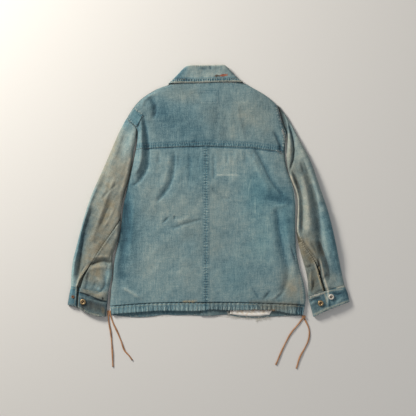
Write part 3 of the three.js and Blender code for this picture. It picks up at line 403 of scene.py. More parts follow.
rightSleeveMarks = {
    # painted shade: the sleeve darkens along the gap between it and the body
    "armhole gap shade": ([(278, 106), (281, 114), (283.5, 124), (285, 133), (285, 146), (284, 157), (286.3, 172),
        (290.6, 185), (293.8, 198), (295, 214), (294, 230), (296, 244)], 0, 2.6, -0.4, 0),
    "armhole shadow": ([(277.5, 104), (281.5, 114), (284.5, 126), (286, 138)], -1.2, (3, 6), -0.4, 0),
    "shoulder fold": ([(288, 122), (291, 131), (293.2, 141), (294, 151), (293, 160), (290.5, 168),
        (288, 174)], -3.2, (4, 2.4), -0.26, 0.05),
    "shoulder ridge": ([(287, 128), (288.8, 140), (289, 152), (288, 164)], 1.2, 8, 0.14, 0.1),
    "shoulder ridge 2": ([(293, 120), (299, 136), (302, 152), (301, 170)], 1.0, 12, 0.10, 0),
    "inner trough": ([(291, 170), (295, 177), (299, 187), (301.6, 198), (302.3, 212), (302, 224),
        (301.4, 236)], -4.0, (7.5, 2.2), -0.26, 0.1),
    "inner ridge": ([(288.5, 172), (292.4, 181), (296, 190), (297.6, 200), (298, 212), (297.6, 222),
        (296.8, 232), (299, 242)], 1.4, 4.5, 0.28, 0.25),
    "middle ridge": ([(301, 172), (305.5, 188), (307, 204), (307.5, 220), (306.5, 236)],
        1.6, 9, 0.13, 0.05),
    "middle trough": ([(302, 158), (306.5, 170), (310.5, 182), (314, 193), (317, 206), (318.8, 220),
        (320, 234), (321.5, 248), (325, 260)], -2.8, (13, 2.6), -0.15, 0.12),
    "middle lip": ([(311, 178), (316, 193), (319, 206), (321.2, 220), (323, 234), (325, 248), (330, 262)],
        1.4, (3, 9), 0.08, -0.2),
    "low shadow": ([(318, 238), (321.5, 248), (325, 258), (328, 267), (329, 276), (327, 284)],
        -1.4, (13, 2.6), -0.24, 0.05),
    "low shadow 2": ([(329, 273), (325, 276), (322, 281)], -1.2, 4, -0.14, 0.05),
    "outer blue": ([(326, 205), (332, 230), (336, 255), (338, 275)], 1.2, 22, -0.02, -0.4),
    "outer shine": ([(304, 130), (314, 160), (322, 190), (330, 222)], 0.4, 12, 0.05, -0.15),
    "beige seam": ([(299, 240), (306, 250), (314, 260)], 0, 12, 0.02, 0.45),
    "seam line": ([(300, 237), (308, 249), (318, 262)], -1.0, 2.6, -0.16, 0.1),
    "seam crumple": ([(303, 238), (311, 249), (319, 258)], 0.8, 3.5, 0.10, 0.2),
    "seam crumple 2": ([(309, 240), (314, 248), (317, 256)], -1.2, 3, -0.12, 0.1),
    "cross crease": ([(304, 265.5), (308, 267), (312, 265)], -2.8, 2.6, -0.26, 0),
    # painted shade: the opening of the slit is painted near black
    "slit hole shade": ([(316.5, 256), (318.4, 264), (319.4, 271), (320.6, 280)], -2, 3.4, -0.6, 0),
    "slit lip": ([(318.5, 255), (321, 264), (322.5, 272), (324.5, 281), (327.5, 290), (328, 304)],
        0.5, 2.8, 0.36, 0.3),
    "slit lip left": ([(312, 258), (316.5, 270), (319, 280), (322, 292)], 0.3, 2.4, 0.22, 0.3),
    "low fold": ([(308, 269), (306, 280), (309, 292)], -2.4, 4, -0.14, 0.1),
    "low fold 2": ([(314, 276), (313, 286), (311, 295)], -2.0, 4, -0.16, 0.1),
    "low ridge": ([(311, 268), (310, 280), (312, 290)], 1.6, 3.5, 0.06, 0.2),
    "worn bar": ([(337, 287.5), (344, 286)], 0, 3.4, 0.3, 0.5),
    "cuff top": ([(309, 296), (318, 291), (328, 288), (336, 288)], -0.8, 2.6, -0.2, 0.1),
    "cuff top pale": ([(310, 298), (319, 293.5), (329, 290.5), (342, 289)], 0, 2.2, 0.22, 0.25),
    "cuff low edge": ([(314, 314), (326, 308), (340, 303), (349, 300)], 0, 2.8, 0.2, 0.3),
    "cuff split": ([(323, 290), (326, 298), (327, 306)], -0.6, 2.4, 0.3, 0.35),
    "cuff split dark": ([(328.5, 298), (329.5, 306)], 0, 2.4, -0.2, 0),
    "cuff mottle": ([(312, 302), (322, 297)], 0.6, 7, -0.08, -0.1),
    "cuff tangle": ([(307, 299), (312, 295), (317, 295), (322, 292)], 0.7, 3.2, 0.24, -0.2),
    "cuff tangle 2": ([(309, 305), (314, 301), (319, 302)], 0.6, 3, 0.2, -0.2),
    "cuff tangle 3": ([(308, 302), (315, 298), (323, 297)], -0.8, 2.6, -0.2, 0),
    "cuff tangle 4": ([(330, 292), (337, 294), (344, 292)], -0.7, 2.6, -0.2, 0),
    "cuff tangle 5": ([(333, 306), (341, 298), (346, 296)], 0.5, 4, 0.14, -0.2),
    "cuff mottle 2": ([(334, 303), (346, 298)], 0.4, 6, 0.02, 0.1),
    "elbow pull": ([(300, 160), (304, 175)], -1.4, 4, -0.08, 0),
}
collarMarks = {
    "edge": ([(172, 82.8), (198, 83), (224, 82), (243, 82)], 0, 1.9, 0.24, 0.5),
    "roping": ([(176, 80.2), (198, 80.4), (224, 79.4), (240, 79.1)], 0.4, 4.5, -0.2, -0.5),
    "fold wear": ([(188, 65.6), (206, 65.8), (225, 65.2)], 0, 3, 0.2, 0),
    "thin spot": ([(200, 68.6), (205, 69.4)], 0, 4, -0.17, 0),
    "tear": ([(210, 65.5), (210.5, 71)], -0.8, 2.0, -0.26, 0),
    "right shade": ([(233, 74), (240, 81)], 0, 6, -0.12, 0),
    "left shade": ([(184, 69), (177, 78), (172, 82)], 0, 9, -0.12, -0.2),
}
marks = {"body": bodyMarks, "left": leftSleeveMarks, "right": rightSleeveMarks, "collar": collarMarks}


def fromPhoto(points):
    return [((u - photoMiddle[0]) * photoPitch, (photoMiddle[1] - v) * photoPitch) for u, v in points]


# Seams: the line of the seam, the rows of stitches beside it, and the roped band between them
seamFields = ("on", "line", "band", "rope", "pitch", "rows")
seamPlan = {
    "yoke": ("body", [(-217, 131), (-198, 134), (-102, 139), (-8, 143), (129, 138), (224, 124)],
        8, 0.36, 7.0, [-5, 5]),
    "centre": ("body", [(-8, 135), (-8, -331)], 8, 0.38, 8, [-6.5, -1, 5.5]),
    "leftArmhole": ("body", [(-245, 221), (-228, 203), (-211, 189)], 6, 0.4, 8, [3, 8]),
    "leftShoulder": ("body", [(-222, 248), (-210, 238), (-199, 229)], 5, 0.4, 8, [0, 4]),
    "rightArmhole": ("body", [(206, 252), (219, 202), (231, 168), (226, 124)], 8, 0.6, 9, [-7, -3]),
    "rightSide": ("body", [(262, -190), (272, -236), (281, -272), (288, -340)], 6, 0.2, 7, [-10, -5]),
    "leftSleeve": ("left", [(-262, -85), (-315, -158), (-339, -193), (-352, -217)], 5, 0.2, 6, [4, 9]),
    "rightSleeve": ("right", [(262, -122), (286, -167), (307, -193), (324, -216)], 7, 0.45, 6.5, [4, 9]),
    "hemTop": ("body", [(-293, -349), (-177, -339), (-16, -336), (91, -337), (260, -343), (288, -346)],
        4, 0.25, 13, [0]),
    "collarEdge": ("collar", [(-118, 330), (-77, 331.5), (-32, 331.5), (45, 334.5), (101, 333.5)],
        4.5, 0.75, 7, [-3, 4]),
    "label": ("body", [(-48, 298), (-48, 265), (26, 265), (26, 298), (-48, 298)], 2, 0.06, 6, [0]),
}
seams = {name: dict(zip(seamFields, values)) for name, values in seamPlan.items()}

# Soft spots of wear and dirt in photo pixels: middle, half-sizes, turn in degrees, more fading and
# more soil; soil below zero is cloth that kept a fresher blue. The darker fading of the spots at the
# left shoulder, the left edge and the right shadow is painted shade.
bodySpots = {
    "upper middle": ((187, 130), (23, 18), 0, -0.09, -0.25),
    # painted shade over the fold at the left shoulder
    "left shoulder shade": ((162, 112), (16, 17), 0, -0.12, -0.2),
    "right shoulder": ((250, 118), (24, 22), 0, 0.06, 0.16),
    "left yoke": ((152, 128), (12, 12), 0, 0.03, 0.08),
    "yoke top": ((180, 96), (24, 8), 0, 0.05, 0.08),
    "yoke low left": ((137, 130), (8, 16), 0, 0.0, -0.4),
    # painted shade along the body's left edge, with fresher blue cloth
    "left edge shade": ((127, 214), (9, 44), 4, -0.21, -0.65),
    "left edge shade low": ((121, 268), (6, 24), 0, -0.08, -0.2),
    "left middle": ((182, 210), (26, 14), 0, 0.06, 0.1),
    "left low": ((160, 270), (32, 28), 0, 0.04, 0.0),
    "centre low": ((196, 280), (14, 30), 0, 0.03, 0.0),
    "centre upper": ((196, 168), (14, 22), 0, -0.06, -0.35),
    "right upper": ((232, 164), (18, 14), 0, 0.09, 0.1),
    "right middle": ((256, 190), (17, 24), 0, -0.03, -0.95),
    "right shadow": ((278, 196), (13, 8), 0, -0.08, -0.4),
    "right low middle": ((262, 238), (18, 26), 0, 0.05, -0.6),
    "right low": ((236, 272), (18, 22), 0, 0.0, -0.45),
    "right edge": ((286, 222), (9, 32), 0, -0.09, -0.65),
    "right corner": ((291, 288), (9, 15), 8, 0.06, 0.75),
    "hem left": ((130, 308), (30, 5), 0, 0.03, -0.3),
    "hem right": ((272, 307), (26, 6), 0, -0.03, 0.05),
}
leftSpots = {
    "top": ((129, 140), (7, 17), -12, 0.14, -0.85),
    "shoulder": ((127, 122), (8, 9), 0, -0.05, -0.9),
    "upper": ((115, 165), (9, 20), -20, 0.06, -0.1),
    "outer": ((84, 236), (7, 34), -20, -0.13, -0.45),
    "strip": ((73, 285), (5, 22), 0, 0.02, -0.7),
    "puff": ((109, 277), (5, 13), 0, 0.1, -0.8),
    "puff dirt": ((97, 275), (8, 12), 0, 0.0, 0.35),
    "lower seam side": ((108, 250), (9, 10), 0, 0.05, 0.35),
    "low": ((94, 288), (12, 10), 0, -0.1, -0.3),
    "cuff": ((95, 306), (12, 8), 0, -0.1, 0.1),
}
rightSpots = {
    "top": ((292, 125), (8, 18), 20, 0.04, -0.2),
    "upper": ((306, 160), (10, 24), 20, 0.07, -0.2),
    "cream strip": ((305, 212), (5, 26), 0, 0.10, 0.15),
    "inner low": ((306, 250), (9, 14), 0, -0.04, 0.5),
    "outer": ((332, 238), (10, 40), 14, -0.03, -0.75),
    "low": ((312, 280), (7, 12), 0, -0.08, 0.25),
    "cuff": ((335, 298), (14, 9), 0, 0.02, -0.3),
}
collarSpots = {
    "left": ((180, 78), (7, 6), 0, -0.1, -0.1),
    "middle": ((205, 76), (12, 6), 0, 0.04, 0.0),
}
spots = {"body": bodySpots, "left": leftSpots, "right": rightSpots, "collar": collarSpots}


# Cloth pieces: levels of subdivision, fading, soil, turn of the grain, flat size in metres, share of
# that rectangle that is cloth, and what it lies on. Sizes and shares follow the solids, so they are
# no separate measurement of the cut, and the shares of the back hem are guessed.
cloth = {
    "back_left": (3, 0.58, 0.04, 0, (0.288, 0.478), 0.86, ["front_left"]),
    "back_right": (3, 0.59, 0.05, 0, (0.299, 0.475), 0.87, ["front_right"]),
    "back_yoke": (3, 0.55, 0.07, 0, (0.48, 0.229), 0.76, ["front_left", "front_right"]),
    "left_shoulder_patch": (2, 0.54, -0.5, -40, (0.041, 0.053), 0.5, ["back_yoke"]),
    "back_hem_left": (3, 0.56, 0.0, 0, (0.29, 0.036), 0.95, ["front_hem_left"]),
    "back_hem_right": (3, 0.55, 0.08, 0, (0.277, 0.036), 0.9, ["front_hem_right"]),
    "back_hem_corner": (3, 0.46, 0.0, 0, (0.031, 0.033), 0.95, ["front_hem_right"]),
    "front_left": (2, 0.5, 0.05, 0, (0.302, 0.688), 0.8, []),
    "front_right": (2, 0.5, 0.05, 0, (0.312, 0.689), 0.82, []),
    "front_hem_left": (2, 0.46, 0.1, 0, (0.302, 0.033), 0.85, []),
    "front_hem_right": (2, 0.46, 0.15, 0, (0.314, 0.038), 0.8, []),
    "hem_patch": (2, 1.0, 0.0, 0, (0.136, 0.03), 0.9, ["front_hem_right"]),
    "left_sleeve_upper": (3, 0.60, 0.7, -22, (0.2, 0.54), 0.55, ["left_sleeve_under"]),
    "left_sleeve_under": (3, 0.56, 0.5, -22, (0.175, 0.54), 0.5, []),
    "right_sleeve_upper": (3, 0.57, 0.38, 20, (0.2, 0.58), 0.5, ["right_sleeve_under"]),
    "right_sleeve_under": (3, 0.53, 0.45, 20, (0.165, 0.58), 0.38, []),
    "left_cuff": (3, 0.40, 0.2, -12, (0.27, 0.062), 0.98, []),
    "right_cuff": (3, 0.43, 0.2, 16, (0.27, 0.062), 0.95, []),
    "collar": (3, 0.62, 0.2, 0, (0.45, 0.13), 0.62, ["back_yoke"]),
}
refine = {"foldRise": 1.3, "foldShadeAndWear": 1.2, "rimAngle": 58, "restLevel": 4.4, "blendHeight": 2.6,
          "wrinkle": 0.5, "wrinklePitch": 19, "crumple": 0.25, "crumplePitch": 8, "lowest": 2.5,
          "wall": 1.5, "patchSlant": 0.5, "slantFrom": 140, "slantAcross": 50, "patchWaver": 1.2,
          "patchPitch": 6, "longestEnd": 24, "endShare": 2.6, "sleeveCrumple": 1.9, "wrinkleShadeAndWear": 0.04,
          "leastPaint": 0.4, "stain": 0.13, "stainPitch": 58}
roping = {"waver": 1.1, "waverPitch": 31, "dash": 0.45, "swell": 0.7, "dashRise": 0.6, "dashFade": 0.06,
          "edgeFade": 0.06, "edgeGap": 1.5, "edgeWidth": 2.2}
hemRoping = {"top": -342, "bottom": -374, "soft": 4, "pitch": 13, "waver": 0.7, "waverPitch": 37,
             "dashPitch": 4.2, "unevenPitch": 31, "runPitch": 7.4, "bandFrom": 0.3, "band": 0.5,
             "rise": 0.3, "dashRise": 0.4, "fadeAndShade": 0.04, "dashFade": 0.10}


def relief(x, y, group):
    # Height in mm that folds, roped seams and crumples add, and the fading and soil that they bring; the
    # fading darkens troughs and gaps as painted shade and pales ridges as wear and painted highlight
    height, fadeAndShade, soil, run, band = (np.zeros(x.shape) for _ in range(5))
    for line, rise, width, moreFadeAndShade, moreSoil in marks[group].values():
        gap, along, length = lineField(fromPhoto(line), x, y)
        reach = min(refine["longestEnd"], length / refine["endShare"])
        ends = smoothStep(along / reach) * smoothStep((length - along) / reach)
        rightWidth, leftWidth = width if isinstance(width, tuple) else (width, width)
        share = np.exp(-(gap / np.where(gap > 0, leftWidth, rightWidth)) ** 2) * (ends if rise else 1)
        height += refine["foldRise"] * rise * share
        # painted shade: the troughs, gaps and holes of the marks darken, and their ridges pale as wear and
        # painted highlight
        fadeAndShade += refine["foldShadeAndWear"] * moreFadeAndShade * share
        soil += moreSoil * share
    for name, seam in seams.items():
        if seam["on"] != group:
            continue
        gap, along, _ = lineField(seam["line"], x, y)
        gap = np.abs(gap)
        near = np.exp(-(gap / seam["band"]) ** 4)
        waver = roping["waver"] * np.sin(along / roping["waverPitch"])
        phase = 2 * np.pi * along / seam["pitch"] + waver
        run = np.where(near * seam["rope"] > band, phase, run)
        band = np.maximum(band, near * seam["rope"])
        dashes = valueNoise(along, gap, seam["pitch"] * roping["dash"], seed=6)
        height += seam["rope"] * near * (1 + roping["swell"] * np.cos(phase) + roping["dashRise"] * dashes)
        fadeAndShade += near * roping["dashFade"] * dashes
        beside = (gap - seam["band"] - roping["edgeGap"]) / roping["edgeWidth"]
        fadeAndShade -= roping["edgeFade"] * np.exp(-beside ** 2)
    if group == "body":
        plan = hemRoping
        hem = smoothStep((plan["top"] - y) / plan["soft"]) * smoothStep((y - plan["bottom"]) / plan["soft"])
        pucker = np.cos(2 * np.pi * x / plan["pitch"] + plan["waver"] * np.sin(x / plan["waverPitch"]))
        dashes = valueNoise(x, y * 0.3, plan["dashPitch"], seed=12)
        uneven = 0.6 + 0.5 * valueNoise(x, y * 0.2, plan["unevenPitch"], seed=21)
        run = np.where(hem > plan["bandFrom"], 2 * np.pi * x / plan["runPitch"], run)
        band = np.where(hem > plan["bandFrom"], plan["band"] * hem * uneven, band)
        height += hem * (plan["rise"] * pucker * uneven + plan["dashRise"] * dashes)
        # the hem's puckers pale on their crests and darken in their hollows: roping wear with painted shade
        fadeAndShade += hem * (plan["fadeAndShade"] * pucker * uneven + plan["dashFade"] * dashes * uneven)
    strong = 1.0 if group == "body" else refine["sleeveCrumple"]
    wrinkles = valueNoise(x, y, refine["wrinklePitch"], seed=3) * refine["wrinkle"] * strong
    crumples = valueNoise(x, y, refine["crumplePitch"], seed=4) * refine["crumple"] * strong
    height += wrinkles + crumples
    # painted shade in the hollows of the wrinkles and painted highlight on their crests, with some wear
    fadeAndShade += refine["wrinkleShadeAndWear"] * (wrinkles + crumples)
    return height, fadeAndShade, soil, run, band


def paintSpots(x, y, group):
    fadeAndShade, soil = np.zeros(x.shape), np.zeros(x.shape)
    for middle, (halfWide, halfTall), turn, moreFadeAndShade, moreSoil in spots[group].values():
        (midX, midY), = fromPhoto([middle])
        c, s = math.cos(math.radians(turn)), math.sin(math.radians(turn))
        u, v = (x - midX) * c + (y - midY) * s, (y - midY) * c - (x - midX) * s
        share = np.exp(-((u / halfWide) ** 2 + (v / halfTall) ** 2) / photoPitch ** 2)
        fadeAndShade += moreFadeAndShade * share
        soil += moreSoil * share
    return fadeAndShade, soil


def groupOf(nodeName):
    if "sleeve" in nodeName or "cuff" in nodeName:
        return nodeName.split("_")[0]
    return "collar" if nodeName == "collar" else "body"


def fineCopy(nodeName, levels):
    # A merged, quad-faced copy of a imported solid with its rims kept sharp, subdivided
    shape = bmesh.new()
    shape.from_mesh(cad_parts[nodeName].data)
    bmesh.ops.remove_doubles(shape, verts=shape.verts, dist=2e-5)
    bmesh.ops.join_triangles(shape, faces=shape.faces, angle_face_threshold=math.radians(40),
                             angle_shape_threshold=math.radians(60))
    sharp = shape.edges.layers.float.new("crease_edge")
    for edge in shape.edges:
        if edge.is_manifold and edge.calc_face_angle() > math.radians(refine["rimAngle"]):
            edge[sharp] = 1
    coarse = bpy.data.meshes.new(nodeName + "_coarse")
    shape.to_mesh(coarse)
    shape.free()
    holder = linkObject(nodeName + "_coarse", coarse)
    smoother = holder.modifiers.new("finer", "SUBSURF")
    smoother.levels = smoother.render_levels = levels
    bpy.context.view_layer.update()
    fine = bpy.data.meshes.new_from_object(holder.evaluated_get(bpy.context.evaluated_depsgraph_get()))
    fine.name = "cloth_" + nodeName
    bpy.data.objects.remove(holder)
    bpy.data.meshes.remove(coarse)
    return linkObject("cloth_" + nodeName, fine)


def vectorsOf(collection, field):
    values = np.empty(len(collection) * 3)
    collection.foreach_get(field, values)
    return values.reshape(-1, 3)


# Undyed plain-weave cotton of the patch on the front hem: warm white, with faint stains
patchCotton, cottonTree = startMaterial("undyed cotton patch")
cottonPlace = objectPlace(cottonTree)
cottonStain = noiseAt(cottonTree, cottonPlace, 90, 4)
cottonWeave = addNode(cottonTree, "TexVoronoi", inputs={
    "Vector": cottonPlace, "Scale": 900}).outputs[0]
cottonShare = clamped(cottonTree, sums(cottonTree, "MULTIPLY_ADD", cottonStain, 3.0, -1.3))
endMaterial(cottonTree, mixColours(cottonTree, cottonShare, linear("#fffaf0"), linear("#e9d3b4")),
            {"Roughness": 0.95, "Sheen Weight": 0.2}, cottonWeave, (0.4, 0.0003))

# The left sleeve's end hangs over the top of its cuff, further at the inner side. Millimetres.
hang = {"from": -388, "end": -288.1, "slope": -0.145, "across": 80, "drop": 13, "moreInward": 15,
        "lift": 2.7, "reach": 34, "rampAbove": 14, "ramp": 11, "topFrom": 6, "topSoft": 2.5}

clothPieces = {}
grains = {}
for nodeName, (levels, baseFade, baseSoil, grainTurn, flat, areaShare, restsOn) in cloth.items():
    piece = fineCopy(nodeName, levels)
    mesh = piece.data
    places = vectorsOf(mesh.vertices, "co")
    x, y, z = places.T / mm
    outer = vectorsOf(mesh.vertex_normals, "vector")[:, 2] > 0
    if nodeName == "left_sleeve_under":
        endLine = hang["end"] + (x - hang["from"]) * hang["slope"]
        onTop = smoothStep((z - hang["topFrom"]) / hang["topSoft"])
        inward = smoothStep((x - hang["from"]) / hang["across"])
        drop = hang["drop"] + hang["moreInward"] * inward
        y = y - drop * onTop * smoothStep((endLine + hang["reach"] - y) / hang["reach"])
        z = z + hang["lift"] * onTop * smoothStep((endLine + hang["rampAbove"] - y) / hang["ramp"])
        places[:, 1] = y * mm
    lifted = smoothStep((z - refine["restLevel"]) / refine["blendHeight"])
    height, fadeAndShade, soil, run, band = relief(x, y, groupOf(nodeName))
    if nodeName.startswith("front") or nodeName == "hem_patch":
        lifted = np.zeros(x.shape)
    if nodeName == "left_shoulder_patch":
        lifted = np.ones(x.shape)
    room = z - refine["lowest"] - np.where(outer, refine["wall"], 0)
    places[:, 2] = (z + np.maximum(height * lifted, -np.maximum(room, 0))) * mm
    if nodeName == "hem_patch":
        turned = smoothStep((x - refine["slantFrom"]) / refine["slantAcross"])
        slant = refine["patchSlant"] * turned * (y - y.max())
        waver = refine["patchWaver"] * valueNoise(x, y, refine["patchPitch"], seed=31)
        places[:, 0] += (slant + waver) * mm
    mesh.vertices.foreach_set("co", places.ravel())
    moreFadeAndShade, moreSoil = paintSpots(x, y, groupOf(nodeName))
    moreSoil = moreSoil + soil
    stain = refine["stain"] * valueNoise(x, y, refine["stainPitch"], seed=9)
    # the fading attribute written here also holds the painted shade and painted highlights of the marks and
    # spots
    for name, values in (("fadeAndShade", baseFade + (fadeAndShade + moreFadeAndShade) * np.maximum(lifted, refine["leastPaint"])),
                         ("soil", baseSoil + moreSoil + stain),
                         ("band", band * lifted), ("run", run)):
        layer = mesh.attributes.new(name, "FLOAT", "POINT")
        held = values if name == "run" else np.clip(values, -1, 1)
        layer.data.foreach_set("value", held.astype(np.float32))
    mesh.shade_smooth()
    mesh.update()
    if grainTurn not in grains:
        grains[grainTurn] = makeDenim("faded indigo twill, grain at " + str(grainTurn), grainTurn)
    mesh.materials.clear()
    mesh.materials.append(patchCotton if nodeName == "hem_patch" else grains[grainTurn])
    clothPieces[nodeName] = piece
    print("cloth", nodeName, len(mesh.polygons))


# The finished cloth as one surface, to sew on
sewn = bmesh.new()
for piece in clothPieces.values():
    sewn.from_mesh(piece.data)
surface = BVHTree.FromBMesh(sewn)
sewn.free()


def surfaceAt(x, y):
    # Place and upward normal of the top cloth at x, y in mm, or of the table beside it
    place, normal, _, _ = surface.ray_cast(Vector((x * mm, y * mm, 0.1)), Vector((0, 0, -1)))
    if place is None:
        return Vector((x * mm, y * mm, 0)), Vector((0, 0, 1))
    return place, normal if normal.z > 0 else -normal


def evenPlaces(points, pitch):
    # Places every pitch mm along a line, each with the heading of the line there
    made = []
    left = pitch / 2
    for (ax, ay), (bx, by) in zip(points, points[1:]):
        length = math.hypot(bx - ax, by - ay)
        heading = math.atan2(by - ay, bx - ax)
        while left < length:
            made.append((ax + (bx - ax) * left / length, ay + (by - ay) * left / length, heading))
            left += pitch
        left -= length
    return made


# Spun cotton sewing thread: a soft sheen, its ply only just visible
def makeThread(name, colour):
    made, tree = startMaterial(name)
    place = objectPlace(tree)
    grain = noiseAt(tree, place, 220, 2)
    shade = mixColours(tree, grain, linear(colour), linear("#8d8878"))
    endMaterial(tree, mixColours(tree, 0.55, shade, linear(colour)),
                {"Roughness": 0.8, "Sheen Weight": 0.2}, grain, (0.4, 0.0002))
    return made


threadLook = {
    "cream": makeThread("cotton thread, cream", "#cdbf98"),
    "blue": makeThread("cotton thread, faded blue", "#8b9a9c"),
    "white": makeThread("cotton thread, off-white", "#d9d6cc"),
    "orange": makeThread("darning thread, orange", "#c8673a"),
    "red": makeThread("darning thread, red", "#a8352c"),
    "brown": makeThread("darning thread, brown", "#4a3326"),
    "rust": makeThread("rusty thread", "#9a7250"),
    "indigo": makeThread("warp thread, blue", "#4d6a78"),
}
sewing = {"pitch": 3.6, "length": 2.9, "width": 0.85, "sink": 0.1, "lowest": 1.5}


def stitchRows(name, rows, thread, gapShare=0.06):
    shape = bmesh.new()
    for points in rows:
        for x, y, heading in evenPlaces(points, sewing["pitch"]):
            if random.random() < gapShare:
                continue
            half = sewing["length"] / 2
            start, normal = surfaceAt(x - half * math.cos(heading), y - half * math.sin(heading))
            end, _ = surfaceAt(x + half * math.cos(heading), y + half * math.sin(heading))
            along = end - start
            if along.length > 2 * sewing["length"] * mm or start.z < sewing["lowest"] * mm:
                continue
            forward = along.normalized()
            aside = normal.cross(forward).normalized()
            up = forward.cross(aside)
            turn = Matrix((forward, aside, up)).transposed().to_4x4()
            scale = Matrix.Diagonal((along.length / 2, sewing["width"] * mm / 2, sewing["width"] * mm / 3, 1))
            middle = (start + end) / 2 + up * sewing["sink"] * mm
            bmesh.ops.create_icosphere(shape, subdivisions=1, radius=1,
                                       matrix=Matrix.Translation(middle) @ turn @ scale)
    return linkObject(name, finishMesh(shape, name, threadLook[thread]))


def besideLine(points, distance):
    # A line at a distance to the left of another
    moved = []
    for k, (x, y) in enumerate(points):
        (ax, ay), (bx, by) = points[max(k - 1, 0)], points[min(k + 1, len(points) - 1)]
        length = math.hypot(bx - ax, by - ay)
        moved.append((x - (by - ay) / length * distance, y + (bx - ax) / length * distance))
    return moved


seamRows = {name: [besideLine(seam["line"], row) for row in seam["rows"]] for name, seam in seams.items()}
bodyRows = [row for name in ("yoke", "centre", "leftArmhole", "leftShoulder", "rightArmhole", "rightSide",
                             "leftSleeve", "rightSleeve") for row in seamRows[name]]
creamRows = seamRows["collarEdge"] + seamRows["hemTop"] + [
    [(-411, -289), (-303, -305)], [(405, -284), (299, -319)],
    [(-419, -335), (-397, -340), (-360, -361), (-332, -369), (-310, -370)],
    [(419, -326), (366, -346), (316, -370)], [(-398, -290), (-401, -336)],
    [(346, -304), (354, -344)], [(322, -222), (330, -262), (342, -298)],
]
trim = {
    "sewing_seams": stitchRows("sewing_seams", bodyRows, "blue"),
    "sewing_edges": stitchRows("sewing_edges", creamRows, "cream", 0.12),
    "sewing_label": stitchRows("sewing_label", seamRows["label"], "blue", 0.35),
}
trimSlot = {name: "cotton" for name in trim}
print("stitches")


# Frayed and darned threads: each lies on the cloth and wanders from its start. Millimetres.
stray = {"radius": 0.22, "rise": 0.35, "spread": 2.0, "steps": 4, "shortest": 0.35, "steady": 160}


def looseThreads(name, line, count, length, heading, scatter, thread):
    data = bpy.data.curves.new(name, "CURVE")
    data.dimensions = "3D"
    data.bevel_depth = stray["radius"] * mm
    data.bevel_resolution = 0
    starts = evenPlaces(line, 0.5)
    for _ in range(count):
        x, y, _ = random.choice(starts)
        x += random.uniform(-stray["spread"], stray["spread"])
        y += random.uniform(-stray["spread"], stray["spread"])
        turn = math.radians(heading + random.gauss(0, scatter))
        step = length * random.uniform(stray["shortest"], 1.0) / stray["steps"]
        spline = data.splines.new("POLY")
        spline.points.add(stray["steps"])
        for k in range(stray["steps"] + 1):
            place, _ = surfaceAt(x, y)
            lift = stray["rise"] * (0.6 + 0.5 * random.random())
            spline.points[k].co = (place.x, place.y, place.z + lift * mm, 1)
            turn += random.gauss(0, scatter / stray["steady"])
            x += step * math.cos(turn)
            y += step * math.sin(turn)
    data.materials.append(threadLook[thread])
    trim[name] = linkObject(name, data)
    trimSlot[name] = "cotton"


frays = [
    ("fray_collar_top", [(-62, 376), (-8, 377), (48, 377)], 110, 4.5, 80, 70, "white"),
    ("fray_collar_leaf", [(-118, 324), (-32, 326), (102, 328)], 90, 5, 270, 30, "white"),
    ("fray_hem_patch", [(66, -374), (110, -377), (150, -380), (190, -377)], 120, 9, 268, 28, "white"),
    ("fray_patch_rim", [(64, -358), (110, -357), (150, -356), (196, -357)], 90, 7, 0, 25, "rust"),
    ("fray_patch_left", [(60, -360), (64, -374)], 34, 9, 180, 40, "white"),
    ("thread_long", [(114, -376), (116, -377)], 8, 14, 285, 18, "white"),
    ("thread_long_2", [(148, -376), (152, -376)], 14, 18, 262, 16, "white"),
    ("thread_long_3", [(174, -375), (177, -375)], 8, 13, 290, 20, "white"),
    ("fray_hem_low", [(-288, -371), (-173, -373), (-28, -370), (147, -377), (280, -370)],
        220, 4.5, 270, 35, "white"),
    ("fray_hem_spot", [(-76, -328), (-42, -330)], 60, 5, 270, 60, "cream"),
    ("fray_left_cuff", [(-420, -340), (-397, -344), (-360, -365), (-332, -373), (-310, -374)],
        120, 4, 268, 40, "white"),
    ("fray_right_cuff", [(421, -330), (366, -350), (315, -375)], 110, 4, 250, 40, "white"),
    ("fray_left_slit", [(-372, -236), (-386, -262), (-394, -286), (-394, -330)], 110, 4, 330, 60, "cream"),
    ("fray_right_slit", [(331, -226), (328, -250), (336, -272), (347, -298)], 150, 5, 200, 60, "cream"),
    ("fray_patch", [(-222, 246), (-198, 228), (-216, 193), (-239, 216.5), (-222, 246)],
        50, 3.5, 90, 120, "blue"),
    ("tangle_armhole", [(219, 186), (226, 166), (231, 150)], 70, 5, 70, 60, "white"),
    ("tangle_armhole_blue", [(222, 186), (229, 150)], 60, 6, 80, 50, "indigo"),
    ("tangle_yoke_end", [(204, 123), (226, 108)], 50, 6, 140, 50, "blue"),
    ("fray_right_cuff_top", [(300, -318), (320, -310), (346, -304)], 90, 5, 40, 70, "white"),
    ("darn_collar", [(33, 345.5), (42, 346), (52, 347.5)], 80, 7, 10, 25, "orange"),
    ("darn_centre", [(36, 346), (50, 347)], 40, 6, 20, 30, "red"),
    ("darn_tail", [(21, 345), (33, 346)], 44, 9, 186, 20, "brown"),
    ("darn_dark", [(30, 345), (50, 348)], 14, 5, 30, 60, "brown"),
]
for fray in frays:
    looseThreads(*fray)
print("frays and darns")


# Metal: worn brass with a brownish lacquer in its hollows, a pale worn alloy, and rusted steel
def makeMetal(name, colour, worn, roughness, metallic=1.0):
    made, tree = startMaterial(name)
    place = objectPlace(tree)
    patches = noiseAt(tree, place, 260, 4)
    share = clamped(tree, sums(tree, "MULTIPLY_ADD", patches, 2.4, -0.8))
    endMaterial(tree, mixColours(tree, share, linear(colour), linear(worn)),
                {"Roughness": roughness, "Metallic": metallic}, patches, (0.2, 0.0002))
    return made


